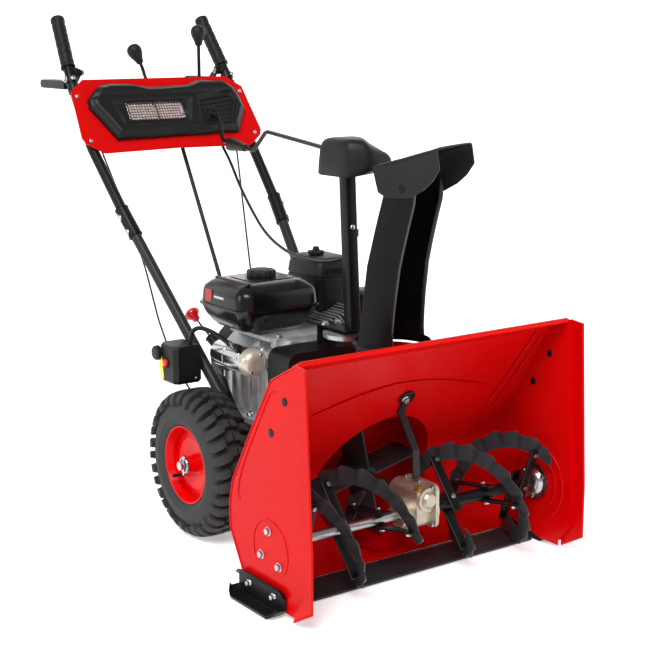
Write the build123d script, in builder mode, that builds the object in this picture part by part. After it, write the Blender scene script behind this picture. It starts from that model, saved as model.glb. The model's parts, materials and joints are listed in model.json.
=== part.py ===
"""Two-stage snow blower: 26 inch auger housing, friction-disc drive, handlebar dash.

Frame: X across (+X is the operator's left), Y rearward (+Y is the operator's end),
Z up from the ground, in millimetres.  The origin is on the ground under the middle
of the machine's length, so the wheel axle stands at AXLE_Y.
"""
import os
from math import cos, hypot, radians, sin

from build123d import *

os.makedirs("parts", exist_ok=True)

# ---------------------------------------------------------------- driving dimensions
FRONT_REACH = 600.0            # axle to the front edge of the side plates
REAR_REACH = 776.0             # axle to the ends of the clutch paddles
AXLE_Y = (FRONT_REACH - REAR_REACH) / 2

SHEET = 2.5                    # pressed sheet of the housing
HALF_WIDTH = 340.0             # outer face of the side plates
FLARE = 10.0                   # outward step of their front strip

TYRE_R = 165.0                 # 13 x 4.1 - 6 snow tyre
TYRE_W = 104.0
TYRE_MID_X = 228.0
RIM_R = 87.0
AXLE_R = 9.5

AUGER_Y, AUGER_Z = -468.0, 138.0
AUGER_R = 124.0
FLIGHT_W = 36.0
AUGER_SHAFT_R = 10.0
IMPELLER_Z = 172.0
DRUM_R = 148.0
DRUM_BACK = -215.0
IMPELLER_SHAFT_R = 9.5
WORM_R, WORM_WHEEL_R = 9.5, 24.0

CHUTE_Y = -390.0               # vertical axis that the chute turns about
CHUTE_TURN = 23.0              # it is stored turned this far to the operator's left
CHUTE_W, CHUTE_D = 136.0, 75.0
CHUTE_RING_Z = 462.0
POST_X, POST_Y = -5.0, -250.0
RING_GEAR_R = 82.0

ENGINE_X, CRANK_Z = -20.0, 350.0
DECK_Z = 242.0
FRAME_HALF = 146.0

TUBE_R = 12.7
KNEE = 0.1                     # slip clearance between parts of one joint


# ---------------------------------------------------------------- views and helpers
TOP = Plane(origin=(0, AXLE_Y, 0))
SIDE = Plane(origin=(0, AXLE_Y, 0), x_dir=(0, 1, 0), z_dir=(1, 0, 0))
FRONT = Plane(origin=(0, AXLE_Y, 0), x_dir=(1, 0, 0), z_dir=(0, -1, 0))
RIGHT, LEFT = -1, 1            # sides of the machine as the operator names them
SIDES = {"right": RIGHT, "left": LEFT}


def save(piece, label):
    """Label a finished piece and write it as its own STEP file."""
    piece.label = label
    export_step(piece, f"parts/{label}.step")


def point(x, y, z):
    """A point given from the axle line on the ground."""
    return Vector(x, AXLE_Y + y, z)


def across_from(start, end):
    """The plane square to the line from start to end, standing at start."""
    return Plane(origin=start, z_dir=end - start)


def corner_radii(points, largest=400.0):
    """The largest tangent arc that each inner corner of a route leaves room for."""
    radii = []
    for before, here, after in zip(points, points[1:], points[2:]):
        run_in, run_out = here - before, after - here
        half_turn = radians(run_in.get_angle(run_out)) / 2
        radii.append(min(0.45 * min(run_in.length, run_out.length) / sin(half_turn) * cos(half_turn), largest))
    return radii


# ---------------------------------------------------------------- auger housing
SHELL_LINE = [(-549, 508), (-496, 481), (-334.6, 220.6)]
SCROLL_MID, SCROLL_END = (-321, 136), (-400, 19.5)

with BuildPart() as housing_shell:
    with BuildSketch(SIDE.offset(-HALF_WIDTH + SHEET)):
        with BuildLine():
            Polyline(*SHELL_LINE)
            ThreePointArc(SHELL_LINE[-1], SCROLL_MID, SCROLL_END)
            offset(amount=SHEET, side=Side.LEFT)
        make_face()
    extrude(amount=2 * (HALF_WIDTH - SHEET))
    with BuildSketch(FRONT):
        with Locations((0, IMPELLER_Z)):
            Circle(DRUM_R)
    extrude(amount=600, mode=Mode.SUBTRACT)
save(housing_shell.part, "housing_shell")

STRIP_LINE = [(-549, 509), (-570, 159), (-570, 60), (-541, 24)]
PLATE_OUTLINE = [(-455, 460), (-383, 347), (-313, 229), (-300, 179), (-302, 125), (-351, 41),
                 (-489, 10), (-541, 10)]
STRIP_FRONT = [(-541, 10), (-FRONT_REACH, 44), (-FRONT_REACH, 159), (-581, 506)]
BEARING_BOLTS = [(-440, 158), (-415, 104), (-476, 96)]
DRAIN_HOLES = [(-500, 428), (-453, 358)]
SKID_BOLTS = [(-462, 32), (-375, 32)]

for name, side in SIDES.items():
    with BuildPart() as side_plate:
        with BuildSketch(SIDE.offset(side * HALF_WIDTH)) as flat_plate:
            Polygon(*STRIP_LINE, *reversed(PLATE_OUTLINE), align=None)
            with Locations(*DRAIN_HOLES):
                Circle(7, mode=Mode.SUBTRACT)
        extrude(amount=-side * SHEET)
        with BuildSketch(SIDE.offset(side * (HALF_WIDTH + FLARE))):
            Polygon(*STRIP_LINE, *STRIP_FRONT, align=None)
        extrude(amount=-side * SHEET)
        with BuildSketch(SIDE.offset(side * (HALF_WIDTH - SHEET))):
            with BuildLine():
                Polyline(*STRIP_LINE)
                offset(amount=3, side=Side.RIGHT)
            make_face()
        extrude(amount=side * (FLARE + SHEET))
    save(side_plate.part, f"side_plate_{name}")

with BuildPart() as impeller_drum:
    with BuildSketch(TOP.offset(300)):
        with Locations((0, -312)):
            Circle(66)
    with BuildSketch(TOP.offset(CHUTE_RING_Z - 4)):
        with Locations((0, CHUTE_Y)):
            Circle(72)
    loft()
    with BuildSketch(TOP.offset(CHUTE_RING_Z - 4)):
        with Locations((0, CHUTE_Y)):
            Circle(76)
    extrude(amount=4)
    with BuildSketch(FRONT.offset(-DRUM_BACK)):
        with Locations((0, IMPELLER_Z)):
            Circle(DRUM_R + SHEET)
    extrude(amount=240)
    with BuildSketch(FRONT.offset(-DRUM_BACK + SHEET)):
        with Locations((0, IMPELLER_Z)):
            Circle(DRUM_R)
    extrude(amount=300, mode=Mode.SUBTRACT)
    with BuildSketch(TOP.offset(300)):
        with Locations((0, -312)):
            Circle(66 - SHEET)
    with BuildSketch(TOP.offset(CHUTE_RING_Z)):
        with Locations((0, CHUTE_Y)):
            Circle(72 - SHEET)
    loft(mode=Mode.SUBTRACT)
    with BuildSketch(SIDE.offset(-200)):
        with BuildLine():
            offset_out = SHEET + KNEE
            Polyline((-800, 800), (-549 + 1.2, 508 + 2.4), (-496 + 2.2, 481 + 1.6),
                     (-334.6 + 2.2, 220.6 + 1.4))
            ThreePointArc((-334.6 + 2.2, 220.6 + 1.4), (-321 + offset_out, 136), (-400 + 1.0, 19.5 - 2.4))
            Polyline((-400 + 1.0, 19.5 - 2.4), (-800, 0), (-800, 800))
        make_face()
    extrude(amount=400, mode=Mode.SUBTRACT)
    with BuildSketch(FRONT.offset(-DRUM_BACK)):
        with Locations((0, IMPELLER_Z)):
            Circle(IMPELLER_SHAFT_R + 0.05)
    extrude(amount=SHEET, mode=Mode.SUBTRACT)
save(impeller_drum.part, "impeller_drum")

with BuildPart() as scraper_bar:
    with BuildSketch(SIDE.offset(-330)):
        Polygon((-470, 3), (-396, 11.5), (-397, 16.3), (-470, 7.5), align=None)
    extrude(amount=660)
save(scraper_bar.part, "scraper_bar")

# Adjustable skid shoes: a web bolted to the side plate and a turned-up runner.
with BuildPart() as skid_shoes:
    for side in SIDES.values():
        with BuildSketch(SIDE.offset(side * (HALF_WIDTH + 0.2))):
            Polygon((-499, 25), (-482, 0), (-354, 0), (-337, 25), (-337, 42), (-352, 58), (-480, 58),
                    (-499, 42), align=None)
            with Locations(*SKID_BOLTS):
                SlotOverall(24, 9, rotation=90, mode=Mode.SUBTRACT)
        extrude(amount=side * 3.5)
        with BuildSketch(SIDE.offset(side * (HALF_WIDTH + 3.7))):
            Polygon((-502, 28), (-484, 0), (-352, 0), (-334, 28), (-338, 30), (-354, 4), (-482, 4),
                    (-498, 30), align=None)
            with Locations((-416, 56)):
                Rectangle(128, 3.5)
        extrude(amount=side * 36)
save(skid_shoes.part, "skid_shoes")

with BuildPart() as auger_bearings:
    for side in SIDES.values():
        with BuildSketch(SIDE.offset(side * (HALF_WIDTH - SHEET))):
            with Locations((AUGER_Y + 24, AUGER_Z - 18)):
                RegularPolygon(46, 3, rotation=62)
            with Locations((AUGER_Y, AUGER_Z)):
                Circle(36)
        extrude(amount=-side * 3)
        with BuildSketch(SIDE.offset(side * (HALF_WIDTH - SHEET - 3))):
            with Locations((AUGER_Y, AUGER_Z)):
                Circle(20)
        extrude(amount=-side * 12)
        with BuildSketch(SIDE.offset(side * (HALF_WIDTH - SHEET))):
            with Locations((AUGER_Y, AUGER_Z)):
                Circle(AUGER_SHAFT_R + 0.05)
        extrude(amount=-side * 15, mode=Mode.SUBTRACT)
save(auger_bearings.part, "auger_bearings")

# ---------------------------------------------------------------- auger gearcase
GEARCASE_SPLIT = 16.0
CASE_FRONT, CASE_BACK = -512.0, -412.0

with BuildPart() as gearcase:
    with BuildSketch(SIDE.offset(-40)):
        with Locations((AUGER_Y, AUGER_Z)):
            Circle(33)
    extrude(amount=78)
    with BuildSketch(SIDE.offset(-26)):
        with Locations((AUGER_Y, (AUGER_Z + IMPELLER_Z) / 2 + 2)):
            Rectangle(76, 66)
    extrude(amount=54)
    with BuildSketch(FRONT.offset(-CASE_BACK)):
        with Locations((0, IMPELLER_Z)):
            Circle(25)
    extrude(amount=CASE_BACK - CASE_FRONT)
    with BuildSketch(SIDE.offset(GEARCASE_SPLIT - 4)):
        with Locations((AUGER_Y, (AUGER_Z + IMPELLER_Z) / 2 + 2)):
            RectangleRounded(104, 92, 14)
    extrude(amount=8)
    with BuildSketch(SIDE.offset(-9)):
        with Locations((AUGER_Y, AUGER_Z)):
            Circle(WORM_WHEEL_R + 2)
    extrude(amount=18, mode=Mode.SUBTRACT)
    with BuildSketch(FRONT.offset(-AUGER_Y - 26)):
        with Locations((0, IMPELLER_Z)):
            Circle(WORM_R + 1.5)
    extrude(amount=52, mode=Mode.SUBTRACT)
    with BuildSketch(SIDE.offset(-60)):
        with Locations((AUGER_Y, AUGER_Z)):
            Circle(AUGER_SHAFT_R + 0.05)
    extrude(amount=120, mode=Mode.SUBTRACT)
    with BuildSketch(FRONT.offset(-CASE_BACK - 2)):
        with Locations((0, IMPELLER_Z)):
            Circle(WORM_R + 0.05)
    extrude(amount=CASE_BACK - CASE_FRONT - 8, mode=Mode.SUBTRACT)

with BuildPart() as gearcase_halves:
    add(gearcase.part)
    split(bisect_by=Plane(origin=(GEARCASE_SPLIT, 0, 0), z_dir=(1, 0, 0)), keep=Keep.BOTH)
save(gearcase_halves.part, "gearcase")

with BuildPart() as gearbox_strut:
    with BuildSketch(SIDE.offset(0)):
        with BuildLine():
            Polyline((-430.6, 373), (-405, 332), (-455, 262), (-458, 203.6))
            offset(amount=5, side=Side.RIGHT)
        make_face()
    extrude(amount=16)
save(gearbox_strut.part, "gearbox_strut")

# ---------------------------------------------------------------- auger and impeller
with BuildPart() as auger_shaft:
    with BuildSketch(SIDE.offset(-HALF_WIDTH + 5)):
        with Locations((AUGER_Y, AUGER_Z)):
            Circle(AUGER_SHAFT_R)
    extrude(amount=2 * (HALF_WIDTH - 5))
    for side in SIDES.values():
        with BuildSketch(SIDE.offset(side * 52)):
            with Locations((AUGER_Y, AUGER_Z)):
                Circle(15)
        extrude(amount=side * 262)
save(auger_shaft.part, "auger_shaft")

with BuildPart() as worm_wheel:
    with BuildSketch(SIDE.offset(-7)):
        with Locations((AUGER_Y, AUGER_Z)):
            Circle(WORM_WHEEL_R)
            Circle(AUGER_SHAFT_R + 0.05, mode=Mode.SUBTRACT)
    extrude(amount=14)
save(worm_wheel.part, "worm_wheel")

FLIGHT_START, FLIGHT_END = 66.0, 312.0     # each flight's reach along the shaft
FLIGHT_TURN = 300.0                        # degrees that it winds on the way
FLIGHT_STEPS = 12
SPOKE_STEPS = (1, 6, 10)

with BuildPart() as auger_flights:
    for side in SIDES.values():
        for start_angle in (20, 200):
            for step in range(FLIGHT_STEPS):
                share = (step + 0.5) / FLIGHT_STEPS
                x = side * (FLIGHT_START + share * (FLIGHT_END - FLIGHT_START))
                turn = radians(start_angle + side * share * FLIGHT_TURN)
                outward = Vector(0, cos(turn), sin(turn))
                lead = (FLIGHT_END - FLIGHT_START) / radians(FLIGHT_TURN) / (AUGER_R - FLIGHT_W / 2)
                along = Vector(lead, -sin(turn), cos(turn))
                centre = point(x, AUGER_Y, AUGER_Z) + outward * (AUGER_R - FLIGHT_W / 2 - 3)
                with BuildSketch(Plane(origin=centre, x_dir=along, z_dir=along.cross(outward))):
                    Rectangle(62, FLIGHT_W)
                extrude(amount=3)
                if step in SPOKE_STEPS:
                    root = point(x, AUGER_Y, AUGER_Z) + outward * 12
                    with BuildSketch(Plane(origin=root, x_dir=(1, 0, 0), z_dir=outward)):
                        Rectangle(20, 6)
                    extrude(amount=AUGER_R - FLIGHT_W - 4)
        with BuildSketch(SIDE.offset(side * 50)):
            with Locations((AUGER_Y, AUGER_Z)):
                Circle(15.1)
        extrude(amount=side * 266, mode=Mode.SUBTRACT)
save(auger_flights.part, "auger_flights")

with BuildPart() as impeller_shaft:
    with BuildSketch(FRONT.offset(184)):
        with Locations((0, IMPELLER_Z)):
            Circle(IMPELLER_SHAFT_R)
    extrude(amount=316)
save(impeller_shaft.part, "impeller_shaft")

FAN_FRONT, FAN_BACK, FAN_R = -316.0, -226.0, 141.0
with BuildPart() as impeller_fan:
    with BuildSketch(FRONT.offset(-FAN_BACK)):
        with Locations((0, IMPELLER_Z)):
            Circle(18)
            for turn in range(0, 360, 90):
                with Locations(Rotation(0, 0, turn + 12) * Pos(FAN_R / 2, 0)):
                    Rectangle(FAN_R - 6, 4)
            Circle(IMPELLER_SHAFT_R + 0.05, mode=Mode.SUBTRACT)
    extrude(amount=FAN_BACK - FAN_FRONT)
save(impeller_fan.part, "impeller_fan")


def pulley_profile(radius, width, grooves, depth=8.0, groove_w=12.0):
    """Half section of a V-belt pulley, radius up and width along, with square grooves."""
    points = [(-width / 2, 0), (-width / 2, radius)]
    for middle in grooves:
        points += [(middle - groove_w / 2, radius), (middle - groove_w / 2, radius - depth),
                   (middle + groove_w / 2, radius - depth), (middle + groove_w / 2, radius)]
    return points + [(width / 2, radius), (width / 2, 0)]


BELT_Y = {"auger": -194.0, "drive": -158.0}
PULLEY_SEAT = {"crank": 28.0, "impeller": 78.0, "disc": 54.0}
BELT_W = 10.0

with BuildPart() as impeller_pulley:
    with BuildSketch(Plane(origin=point(0, BELT_Y["auger"], IMPELLER_Z), x_dir=(0, 1, 0), z_dir=(1, 0, 0))):
        Polygon(*pulley_profile(PULLEY_SEAT["impeller"] + 8, 18, [0]), align=None)
    revolve(axis=Axis(point(0, BELT_Y["auger"], IMPELLER_Z), (0, 1, 0)))
    with BuildSketch(FRONT.offset(100)):
        with Locations((0, IMPELLER_Z)):
            Circle(IMPELLER_SHAFT_R + 0.05)
    extrude(amount=200, mode=Mode.SUBTRACT)
save(impeller_pulley.part, "impeller_pulley")

# ---------------------------------------------------------------- engine drive end
with BuildPart() as crank_pulley:
    middle = (BELT_Y["auger"] + BELT_Y["drive"]) / 2
    with BuildSketch(Plane(origin=point(ENGINE_X, middle, CRANK_Z), x_dir=(0, 1, 0), z_dir=(1, 0, 0))):
        Polygon(*pulley_profile(PULLEY_SEAT["crank"] + 8, 54, [BELT_Y["auger"] - middle, BELT_Y["drive"] - middle]),
                align=None)
    revolve(axis=Axis(point(ENGINE_X, middle, CRANK_Z), (0, 1, 0)))
    with BuildSketch(FRONT.offset(105)):
        with Locations((ENGINE_X, CRANK_Z)):
            Circle(10)
    extrude(amount=50)
save(crank_pulley.part, "crank_pulley")

FRAME_FRONT, FRAME_BACK, FRAME_FLOOR = -134.0, 112.0, 92.0
WALL = 3.0
DISC_R, DISC_Y = 62.0, -118.0
with BuildPart() as drive_disc:
    with BuildSketch(Plane(origin=point(0, BELT_Y["drive"], IMPELLER_Z), x_dir=(0, 1, 0), z_dir=(1, 0, 0))):
        Polygon(*pulley_profile(PULLEY_SEAT["disc"] + 8, 18, [0]), align=None)
    revolve(axis=Axis(point(0, BELT_Y["drive"], IMPELLER_Z), (0, 1, 0)))
    with BuildSketch(FRONT.offset(-DISC_Y)):
        with Locations((0, IMPELLER_Z)):
            Circle(10)
    extrude(amount=35)
    with BuildSketch(FRONT.offset(-DISC_Y - 4)):
        with Locations((0, IMPELLER_Z)):
            Circle(DISC_R)
    extrude(amount=8)
save(drive_disc.part, "drive_disc")


with BuildPart() as drive_belts:
    for belt, seat in (("auger", "impeller"), ("drive", "disc")):
        for grow, mode in ((7.6, Mode.ADD), (0.4, Mode.SUBTRACT)):
            with BuildSketch(FRONT.offset(-BELT_Y[belt] - BELT_W / 2)) as loop:
                with Locations((0, IMPELLER_Z)):
                    Circle(PULLEY_SEAT[seat] + grow)
                with Locations((ENGINE_X, CRANK_Z)):
                    Circle(PULLEY_SEAT["crank"] + grow)
                make_hull()
            extrude(amount=BELT_W, mode=mode)
save(drive_belts.part, "drive_belts")

IDLER_PIVOT, IDLER_WHEEL = (118.0, 330.0), (82.0, 272.0)
with BuildPart() as idler_arm:
    with BuildSketch(FRONT.offset(182)):
        with Locations(IDLER_PIVOT):
            Circle(12)
        with Locations(IDLER_WHEEL):
            Circle(9)
        make_hull()
    extrude(amount=4)
    with BuildSketch(FRONT.offset(186)):
        with Locations(IDLER_WHEEL):
            Circle(19)
    extrude(amount=16)
save(idler_arm.part, "idler_arm")

BELT_COVER_TOP = 436.0
with BuildPart() as belt_cover:
    with BuildSketch(FRONT.offset(-FRAME_FRONT + 0.5)) as cover_outline:
        Polygon((-139, BELT_COVER_TOP), (149, BELT_COVER_TOP), (149, 82), (-149, 82), (-149, 290), (-139, 304),
                align=None)
        fillet(cover_outline.vertices().group_by(Axis.Z)[-1], 26)
    extrude(amount=-DRUM_BACK + FRAME_FRONT - 1.0)
    offset(amount=-SHEET, openings=faces().sort_by(Axis.Y)[-1])
    with BuildSketch(FRONT.offset(200)):
        with Locations((0, IMPELLER_Z)):
            Circle(14)
    extrude(amount=30, mode=Mode.SUBTRACT)
save(belt_cover.part, "belt_cover")

# ---------------------------------------------------------------- tractor frame and drive
HEX_Y, HEX_Z = -67.3, 172.0
HEX_R = 8.0
WHEEL_DISC_R = 45.0
GEAR_X, GEAR_W = 118.0, 12.0
AXLE_GEAR_R = 51.0
PINION_R = hypot(HEX_Y, HEX_Z - TYRE_R) - AXLE_GEAR_R - 0.4

with BuildPart() as tractor_frame:
    with BuildSketch(TOP.offset(FRAME_FLOOR)):
        with Locations((0, (FRAME_FRONT + FRAME_BACK) / 2)):
            Rectangle(2 * FRAME_HALF, FRAME_BACK - FRAME_FRONT)
            Rectangle(2 * (FRAME_HALF - WALL), FRAME_BACK - FRAME_FRONT - 2 * WALL, mode=Mode.SUBTRACT)
    extrude(amount=DECK_Z - FRAME_FLOOR)
    with BuildSketch(TOP.offset(DECK_Z - WALL)):
        with Locations((0, (FRAME_FRONT + FRAME_BACK) / 2)):
            Rectangle(2 * FRAME_HALF, FRAME_BACK - FRAME_FRONT)
    extrude(amount=WALL)
    for side in SIDES.values():
        with BuildSketch(SIDE.offset(side * FRAME_HALF)):
            Polygon((-20, DECK_Z - 60), (100, DECK_Z - 60), (100, 262), (64, 340), (36, 340), (-20, 270), align=None)
        extrude(amount=-side * WALL)
    for centre, radius in (((0, TYRE_R), AXLE_R + 0.05), ((HEX_Y, HEX_Z), HEX_R + 0.05)):
        with BuildSketch(SIDE.offset(-FRAME_HALF)):
            with Locations(centre):
                Circle(radius)
        extrude(amount=2 * FRAME_HALF, mode=Mode.SUBTRACT)
    with BuildSketch(FRONT.offset(-FRAME_FRONT)):
        with Locations((0, IMPELLER_Z)):
            Circle(10.05)
    extrude(amount=-WALL, mode=Mode.SUBTRACT)
    with BuildSketch(TOP.offset(FRAME_FLOOR - 2.2)):
        with Locations((0, (FRAME_FRONT + FRAME_BACK) / 2)):
            RectangleRounded(2 * FRAME_HALF, FRAME_BACK - FRAME_FRONT, 8)
    extrude(amount=2)
save(tractor_frame.part, "tractor_frame")

with BuildPart() as hex_shaft:
    with BuildSketch(SIDE.offset(-FRAME_HALF - 4)):
        with Locations((HEX_Y, HEX_Z)):
            Circle(HEX_R)
    extrude(amount=2 * FRAME_HALF + 8)
    with BuildSketch(SIDE.offset(GEAR_X)):
        with Locations((HEX_Y, HEX_Z)):
            Circle(PINION_R)
    extrude(amount=GEAR_W)
save(hex_shaft.part, "hex_shaft")

with BuildPart() as friction_wheel:
    with BuildSketch(SIDE.offset(-6)):
        with Locations((HEX_Y, HEX_Z)):
            Circle(WHEEL_DISC_R)
    extrude(amount=12)
    with BuildSketch(SIDE.offset(-22)):
        with Locations((HEX_Y, HEX_Z)):
            Circle(18)
    extrude(amount=44)
    with BuildSketch(SIDE.offset(-40)):
        with Locations((HEX_Y, HEX_Z)):
            Circle(HEX_R + 0.06)
    extrude(amount=80, mode=Mode.SUBTRACT)
save(friction_wheel.part, "friction_wheel")

# Wheel axle with its drive gear, and the click pins that lock the hubs to it.
with BuildPart() as axle:
    with BuildSketch(SIDE.offset(-TYRE_MID_X - 58)):
        with Locations((0, TYRE_R)):
            Circle(AXLE_R)
    extrude(amount=2 * (TYRE_MID_X + 58))
    with BuildSketch(SIDE.offset(GEAR_X)):
        with Locations((0, TYRE_R)):
            Circle(AXLE_GEAR_R)
    extrude(amount=GEAR_W)
    for side in SIDES.values():
        with BuildSketch(SIDE.offset(side * (TYRE_MID_X + 41))):
            with Locations((0, TYRE_R)):
                Circle(19)
                Circle(15.5, mode=Mode.SUBTRACT)
        extrude(amount=side * 3)
save(axle.part, "axle_with_gear")

# Tyre and dished steel rim: sections given as (outward from the tyre's middle, radius).
TYRE_SECTION = [(-TYRE_W / 2 + 8, RIM_R + 1), (TYRE_W / 2 - 8, RIM_R + 1), (TYRE_W / 2, 118), (TYRE_W / 2, 140),
                (38, TYRE_R), (-38, TYRE_R), (-TYRE_W / 2, 140), (-TYRE_W / 2, 118)]
TYRE_HOLLOW = [(-TYRE_W / 2 + 20, RIM_R - 5), (TYRE_W / 2 - 20, RIM_R - 5), (TYRE_W / 2 - 12, 116),
               (TYRE_W / 2 - 12, 137), (32, TYRE_R - 16), (-32, TYRE_R - 16), (-TYRE_W / 2 + 12, 137),
               (-TYRE_W / 2 + 12, 116)]
RIM_SECTION = [(-44, RIM_R), (-44, RIM_R - 3), (-28, RIM_R - 9), (12, RIM_R - 9), (20, 56), (14, 24), (-50, 16),
               (-50, AXLE_R + 0.05), (40, AXLE_R + 0.05), (40, 16), (18, 20), (24, 56), (19, RIM_R - 9),
               (28, RIM_R - 9), (44, RIM_R - 3), (44, RIM_R), (26, RIM_R - 5), (-26, RIM_R - 5)]
AXLE_LINE = Axis(point(0, 0, TYRE_R), (1, 0, 0))
for label, section, hollow in (("tyres", TYRE_SECTION, TYRE_HOLLOW), ("rims", RIM_SECTION, None)):
    with BuildPart() as turned_pair:
        for side in SIDES.values():
            wheel = Plane(origin=point(side * TYRE_MID_X, 0, TYRE_R), x_dir=(side, 0, 0), z_dir=(0, -side, 0))
            with BuildSketch(wheel) as half_section:
                Polygon(*section, align=None)
                if hollow:
                    fillet(half_section.vertices().group_by(Axis.Z)[-1], 12)
                    Polygon(*hollow, align=None, mode=Mode.SUBTRACT)
            revolve(axis=AXLE_LINE)
    save(turned_pair.part, label)

# ---------------------------------------------------------------- handlebar
LOW_FOOT, LOW_TOP = (159.5, 20.0, 296.0), (213.0, 362.0, 676.0)
KNEE_POINT, GRIP_BASE, GRIP_END = (224.0, 499.0, 824.0), (222.0, 604.0, 983.0), (206.0, 702.0, 1126.0)

PADDLE_X, PADDLE_PIVOT = 196.0, (612.0, 998.0)   # hinge of each clutch paddle, beside its tube
PADDLE_BAR_Z = 968.0
JOINT_SLEEVE = 62.0                           # how far the upper tube's sleeve comes down the lower tube

with BuildPart() as handle_lower:
    for side in SIDES.values():
        foot, top = (point(side * spot[0], *spot[1:]) for spot in (LOW_FOOT, LOW_TOP))
        with BuildSketch(across_from(foot, top)):
            Circle(TUBE_R)
            Circle(TUBE_R - 1.8, mode=Mode.SUBTRACT)
        extrude(amount=(top - foot).length)
save(handle_lower.part, "handle_lower_tubes")

with BuildPart() as handle_upper:
    for side in SIDES.values():
        foot, top, knee, grip, end = (point(side * spot[0], *spot[1:])
                                      for spot in (LOW_FOOT, LOW_TOP, KNEE_POINT, GRIP_BASE, GRIP_END))
        up_tube = (top - foot).normalized()
        start = top + up_tube * 4
        with BuildLine():
            FilletPolyline(start, knee, grip, end, radius=[90, 260])
        with BuildSketch(across_from(start, knee)):
            Circle(TUBE_R)
        sweep()
        with BuildSketch(Plane(origin=top - up_tube * JOINT_SLEEVE, z_dir=up_tube)):
            Circle(TUBE_R + 3.2)
            Circle(TUBE_R + 0.1, mode=Mode.SUBTRACT)
        extrude(amount=JOINT_SLEEVE + 16)
        with BuildSketch(SIDE.offset(side * (PADDLE_X + 4))):
            with Locations(PADDLE_PIVOT):
                Circle(12)
        extrude(amount=side * 16)
        with BuildSketch(SIDE.offset(side * (PADDLE_X - 6))):
            with Locations(PADDLE_PIVOT):
                Circle(4)
        extrude(amount=side * 12)
save(handle_upper.part, "handle_upper_tubes")

GRIP_LENGTH = 150.0
with BuildPart() as hand_grips:
    for side in SIDES.values():
        end, base = point(side * GRIP_END[0], *GRIP_END[1:]), point(side * GRIP_BASE[0], *GRIP_BASE[1:])
        up_grip = (end - base).normalized()
        start = end - up_grip * (GRIP_LENGTH - 8)
        with BuildSketch(Plane(origin=start, z_dir=up_grip)):
            Circle(TUBE_R + 5)
        extrude(amount=GRIP_LENGTH)
        with BuildSketch(Plane(origin=start - up_grip * 2, z_dir=up_grip)):
            Circle(TUBE_R + 0.05)
        extrude(amount=GRIP_LENGTH - 5.5, mode=Mode.SUBTRACT)
save(hand_grips.part, "hand_grips")

# Clutch paddles: each hinges below its grip and is squeezed up against it.
for name, side in SIDES.items():
    with BuildPart() as paddle:
        with BuildSketch(SIDE.offset(side * (PADDLE_X - 3))):
            with Locations(PADDLE_PIVOT):
                Circle(10)
            with Locations((PADDLE_PIVOT[0] + 32, PADDLE_BAR_Z)):
                Circle(10)
            make_hull()
            with Locations(PADDLE_PIVOT):
                Circle(4.06, mode=Mode.SUBTRACT)
        extrude(amount=side * 6)
        with BuildSketch(SIDE.offset(side * (PADDLE_X - 3))):
            Polygon((PADDLE_PIVOT[0] + 22, PADDLE_BAR_Z - 11), (REAR_REACH - 11, PADDLE_BAR_Z - 11),
                    (REAR_REACH, PADDLE_BAR_Z), (REAR_REACH - 11, PADDLE_BAR_Z + 11),
                    (PADDLE_PIVOT[0] + 22, PADDLE_BAR_Z + 11), align=None)
        extrude(amount=side * 34)
    save(paddle.part, f"clutch_paddle_{name}")

# ---------------------------------------------------------------- dash panel and its controls
LEAN = 34.6                                   # the dash face looks up from level by this much
DASH = Plane(origin=point(0, 520, 893), x_dir=(1, 0, 0), z_dir=(0, -cos(radians(LEAN)), sin(radians(LEAN))))
DASH_HALF = [(0, 108), (200, 108), (241, 76), (252, -54), (246, -68), (206, -97), (0, -93)]
LIGHT_X, LIGHT_W, LIGHT_H, LIGHT_UP = -37.0, 156.0, 52.0, 10.0
CRANK_HOLE = (122.0, -4.0)
SHELF_DEEP = 62.0
SPEED_X, TILT_X = -6.0, 142.0


def both_halves(points):
    """A closed outline from its right half, which starts and ends on the middle line."""
    return points + [(-x, y) for x, y in reversed(points[1:-1])]


with BuildPart() as dash_panel:
    with BuildSketch(DASH) as dash_face:
        Polygon(*both_halves(DASH_HALF), align=None)
        with Locations(CRANK_HOLE):
            Circle(16, mode=Mode.SUBTRACT)
    extrude(amount=-2)
    with BuildSketch(DASH.offset(-1)):
        with Locations((0, 107)):
            Rectangle(366, 2)
    extrude(amount=-SHELF_DEEP)
    for middle, length, turn in ((SPEED_X, 110, 0), (TILT_X, 55, 90)):
        with BuildSketch(Plane(origin=DASH.from_local_coords((middle, 107, -32)), x_dir=(1, 0, 0),
                               z_dir=DASH.y_dir)):
            SlotOverall(length, 15, rotation=turn)
        extrude(amount=8, both=True, mode=Mode.SUBTRACT)
save(dash_panel.part, "dash_panel")

BEZEL_HALF = [(0, 80), (66, 82), (113, 97), (180, 91), (221, 50), (222, 24), (182, -60), (0, -62)]
BEZEL_STEPS = ((0, 8), (6, 16), (13, 24))        # each tier's inset from the outline and its height
with BuildPart() as dash_bezel:
    for inset, rise in BEZEL_STEPS:
        with BuildSketch(DASH.offset(0.2)):
            Polygon(*reversed(both_halves(BEZEL_HALF)), align=None)
            offset(amount=-inset, kind=Kind.INTERSECTION)
        extrude(amount=rise)
    with BuildSketch(DASH.offset(7)):
        Polygon((78, 36), (84, -36), (166, -36), (186, 36), align=None)
    extrude(amount=30, mode=Mode.SUBTRACT)
    with BuildSketch(DASH.offset(9)):
        with Locations((LIGHT_X, LIGHT_UP)):
            Rectangle(LIGHT_W + 1, LIGHT_H + 1)
    extrude(amount=20, mode=Mode.SUBTRACT)
    with BuildSketch(DASH.offset(-2)):
        with Locations((CRANK_HOLE[0], CRANK_HOLE[1] - 6)):
            Circle(18)
    extrude(amount=12, mode=Mode.SUBTRACT)
save(dash_bezel.part, "dash_bezel")

with BuildPart() as headlamp:
    with BuildSketch(DASH.offset(9.2)):
        with Locations((LIGHT_X, LIGHT_UP)):
            RectangleRounded(LIGHT_W, LIGHT_H, 3)
    extrude(amount=7)
save(headlamp.part, "headlamp")

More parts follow.
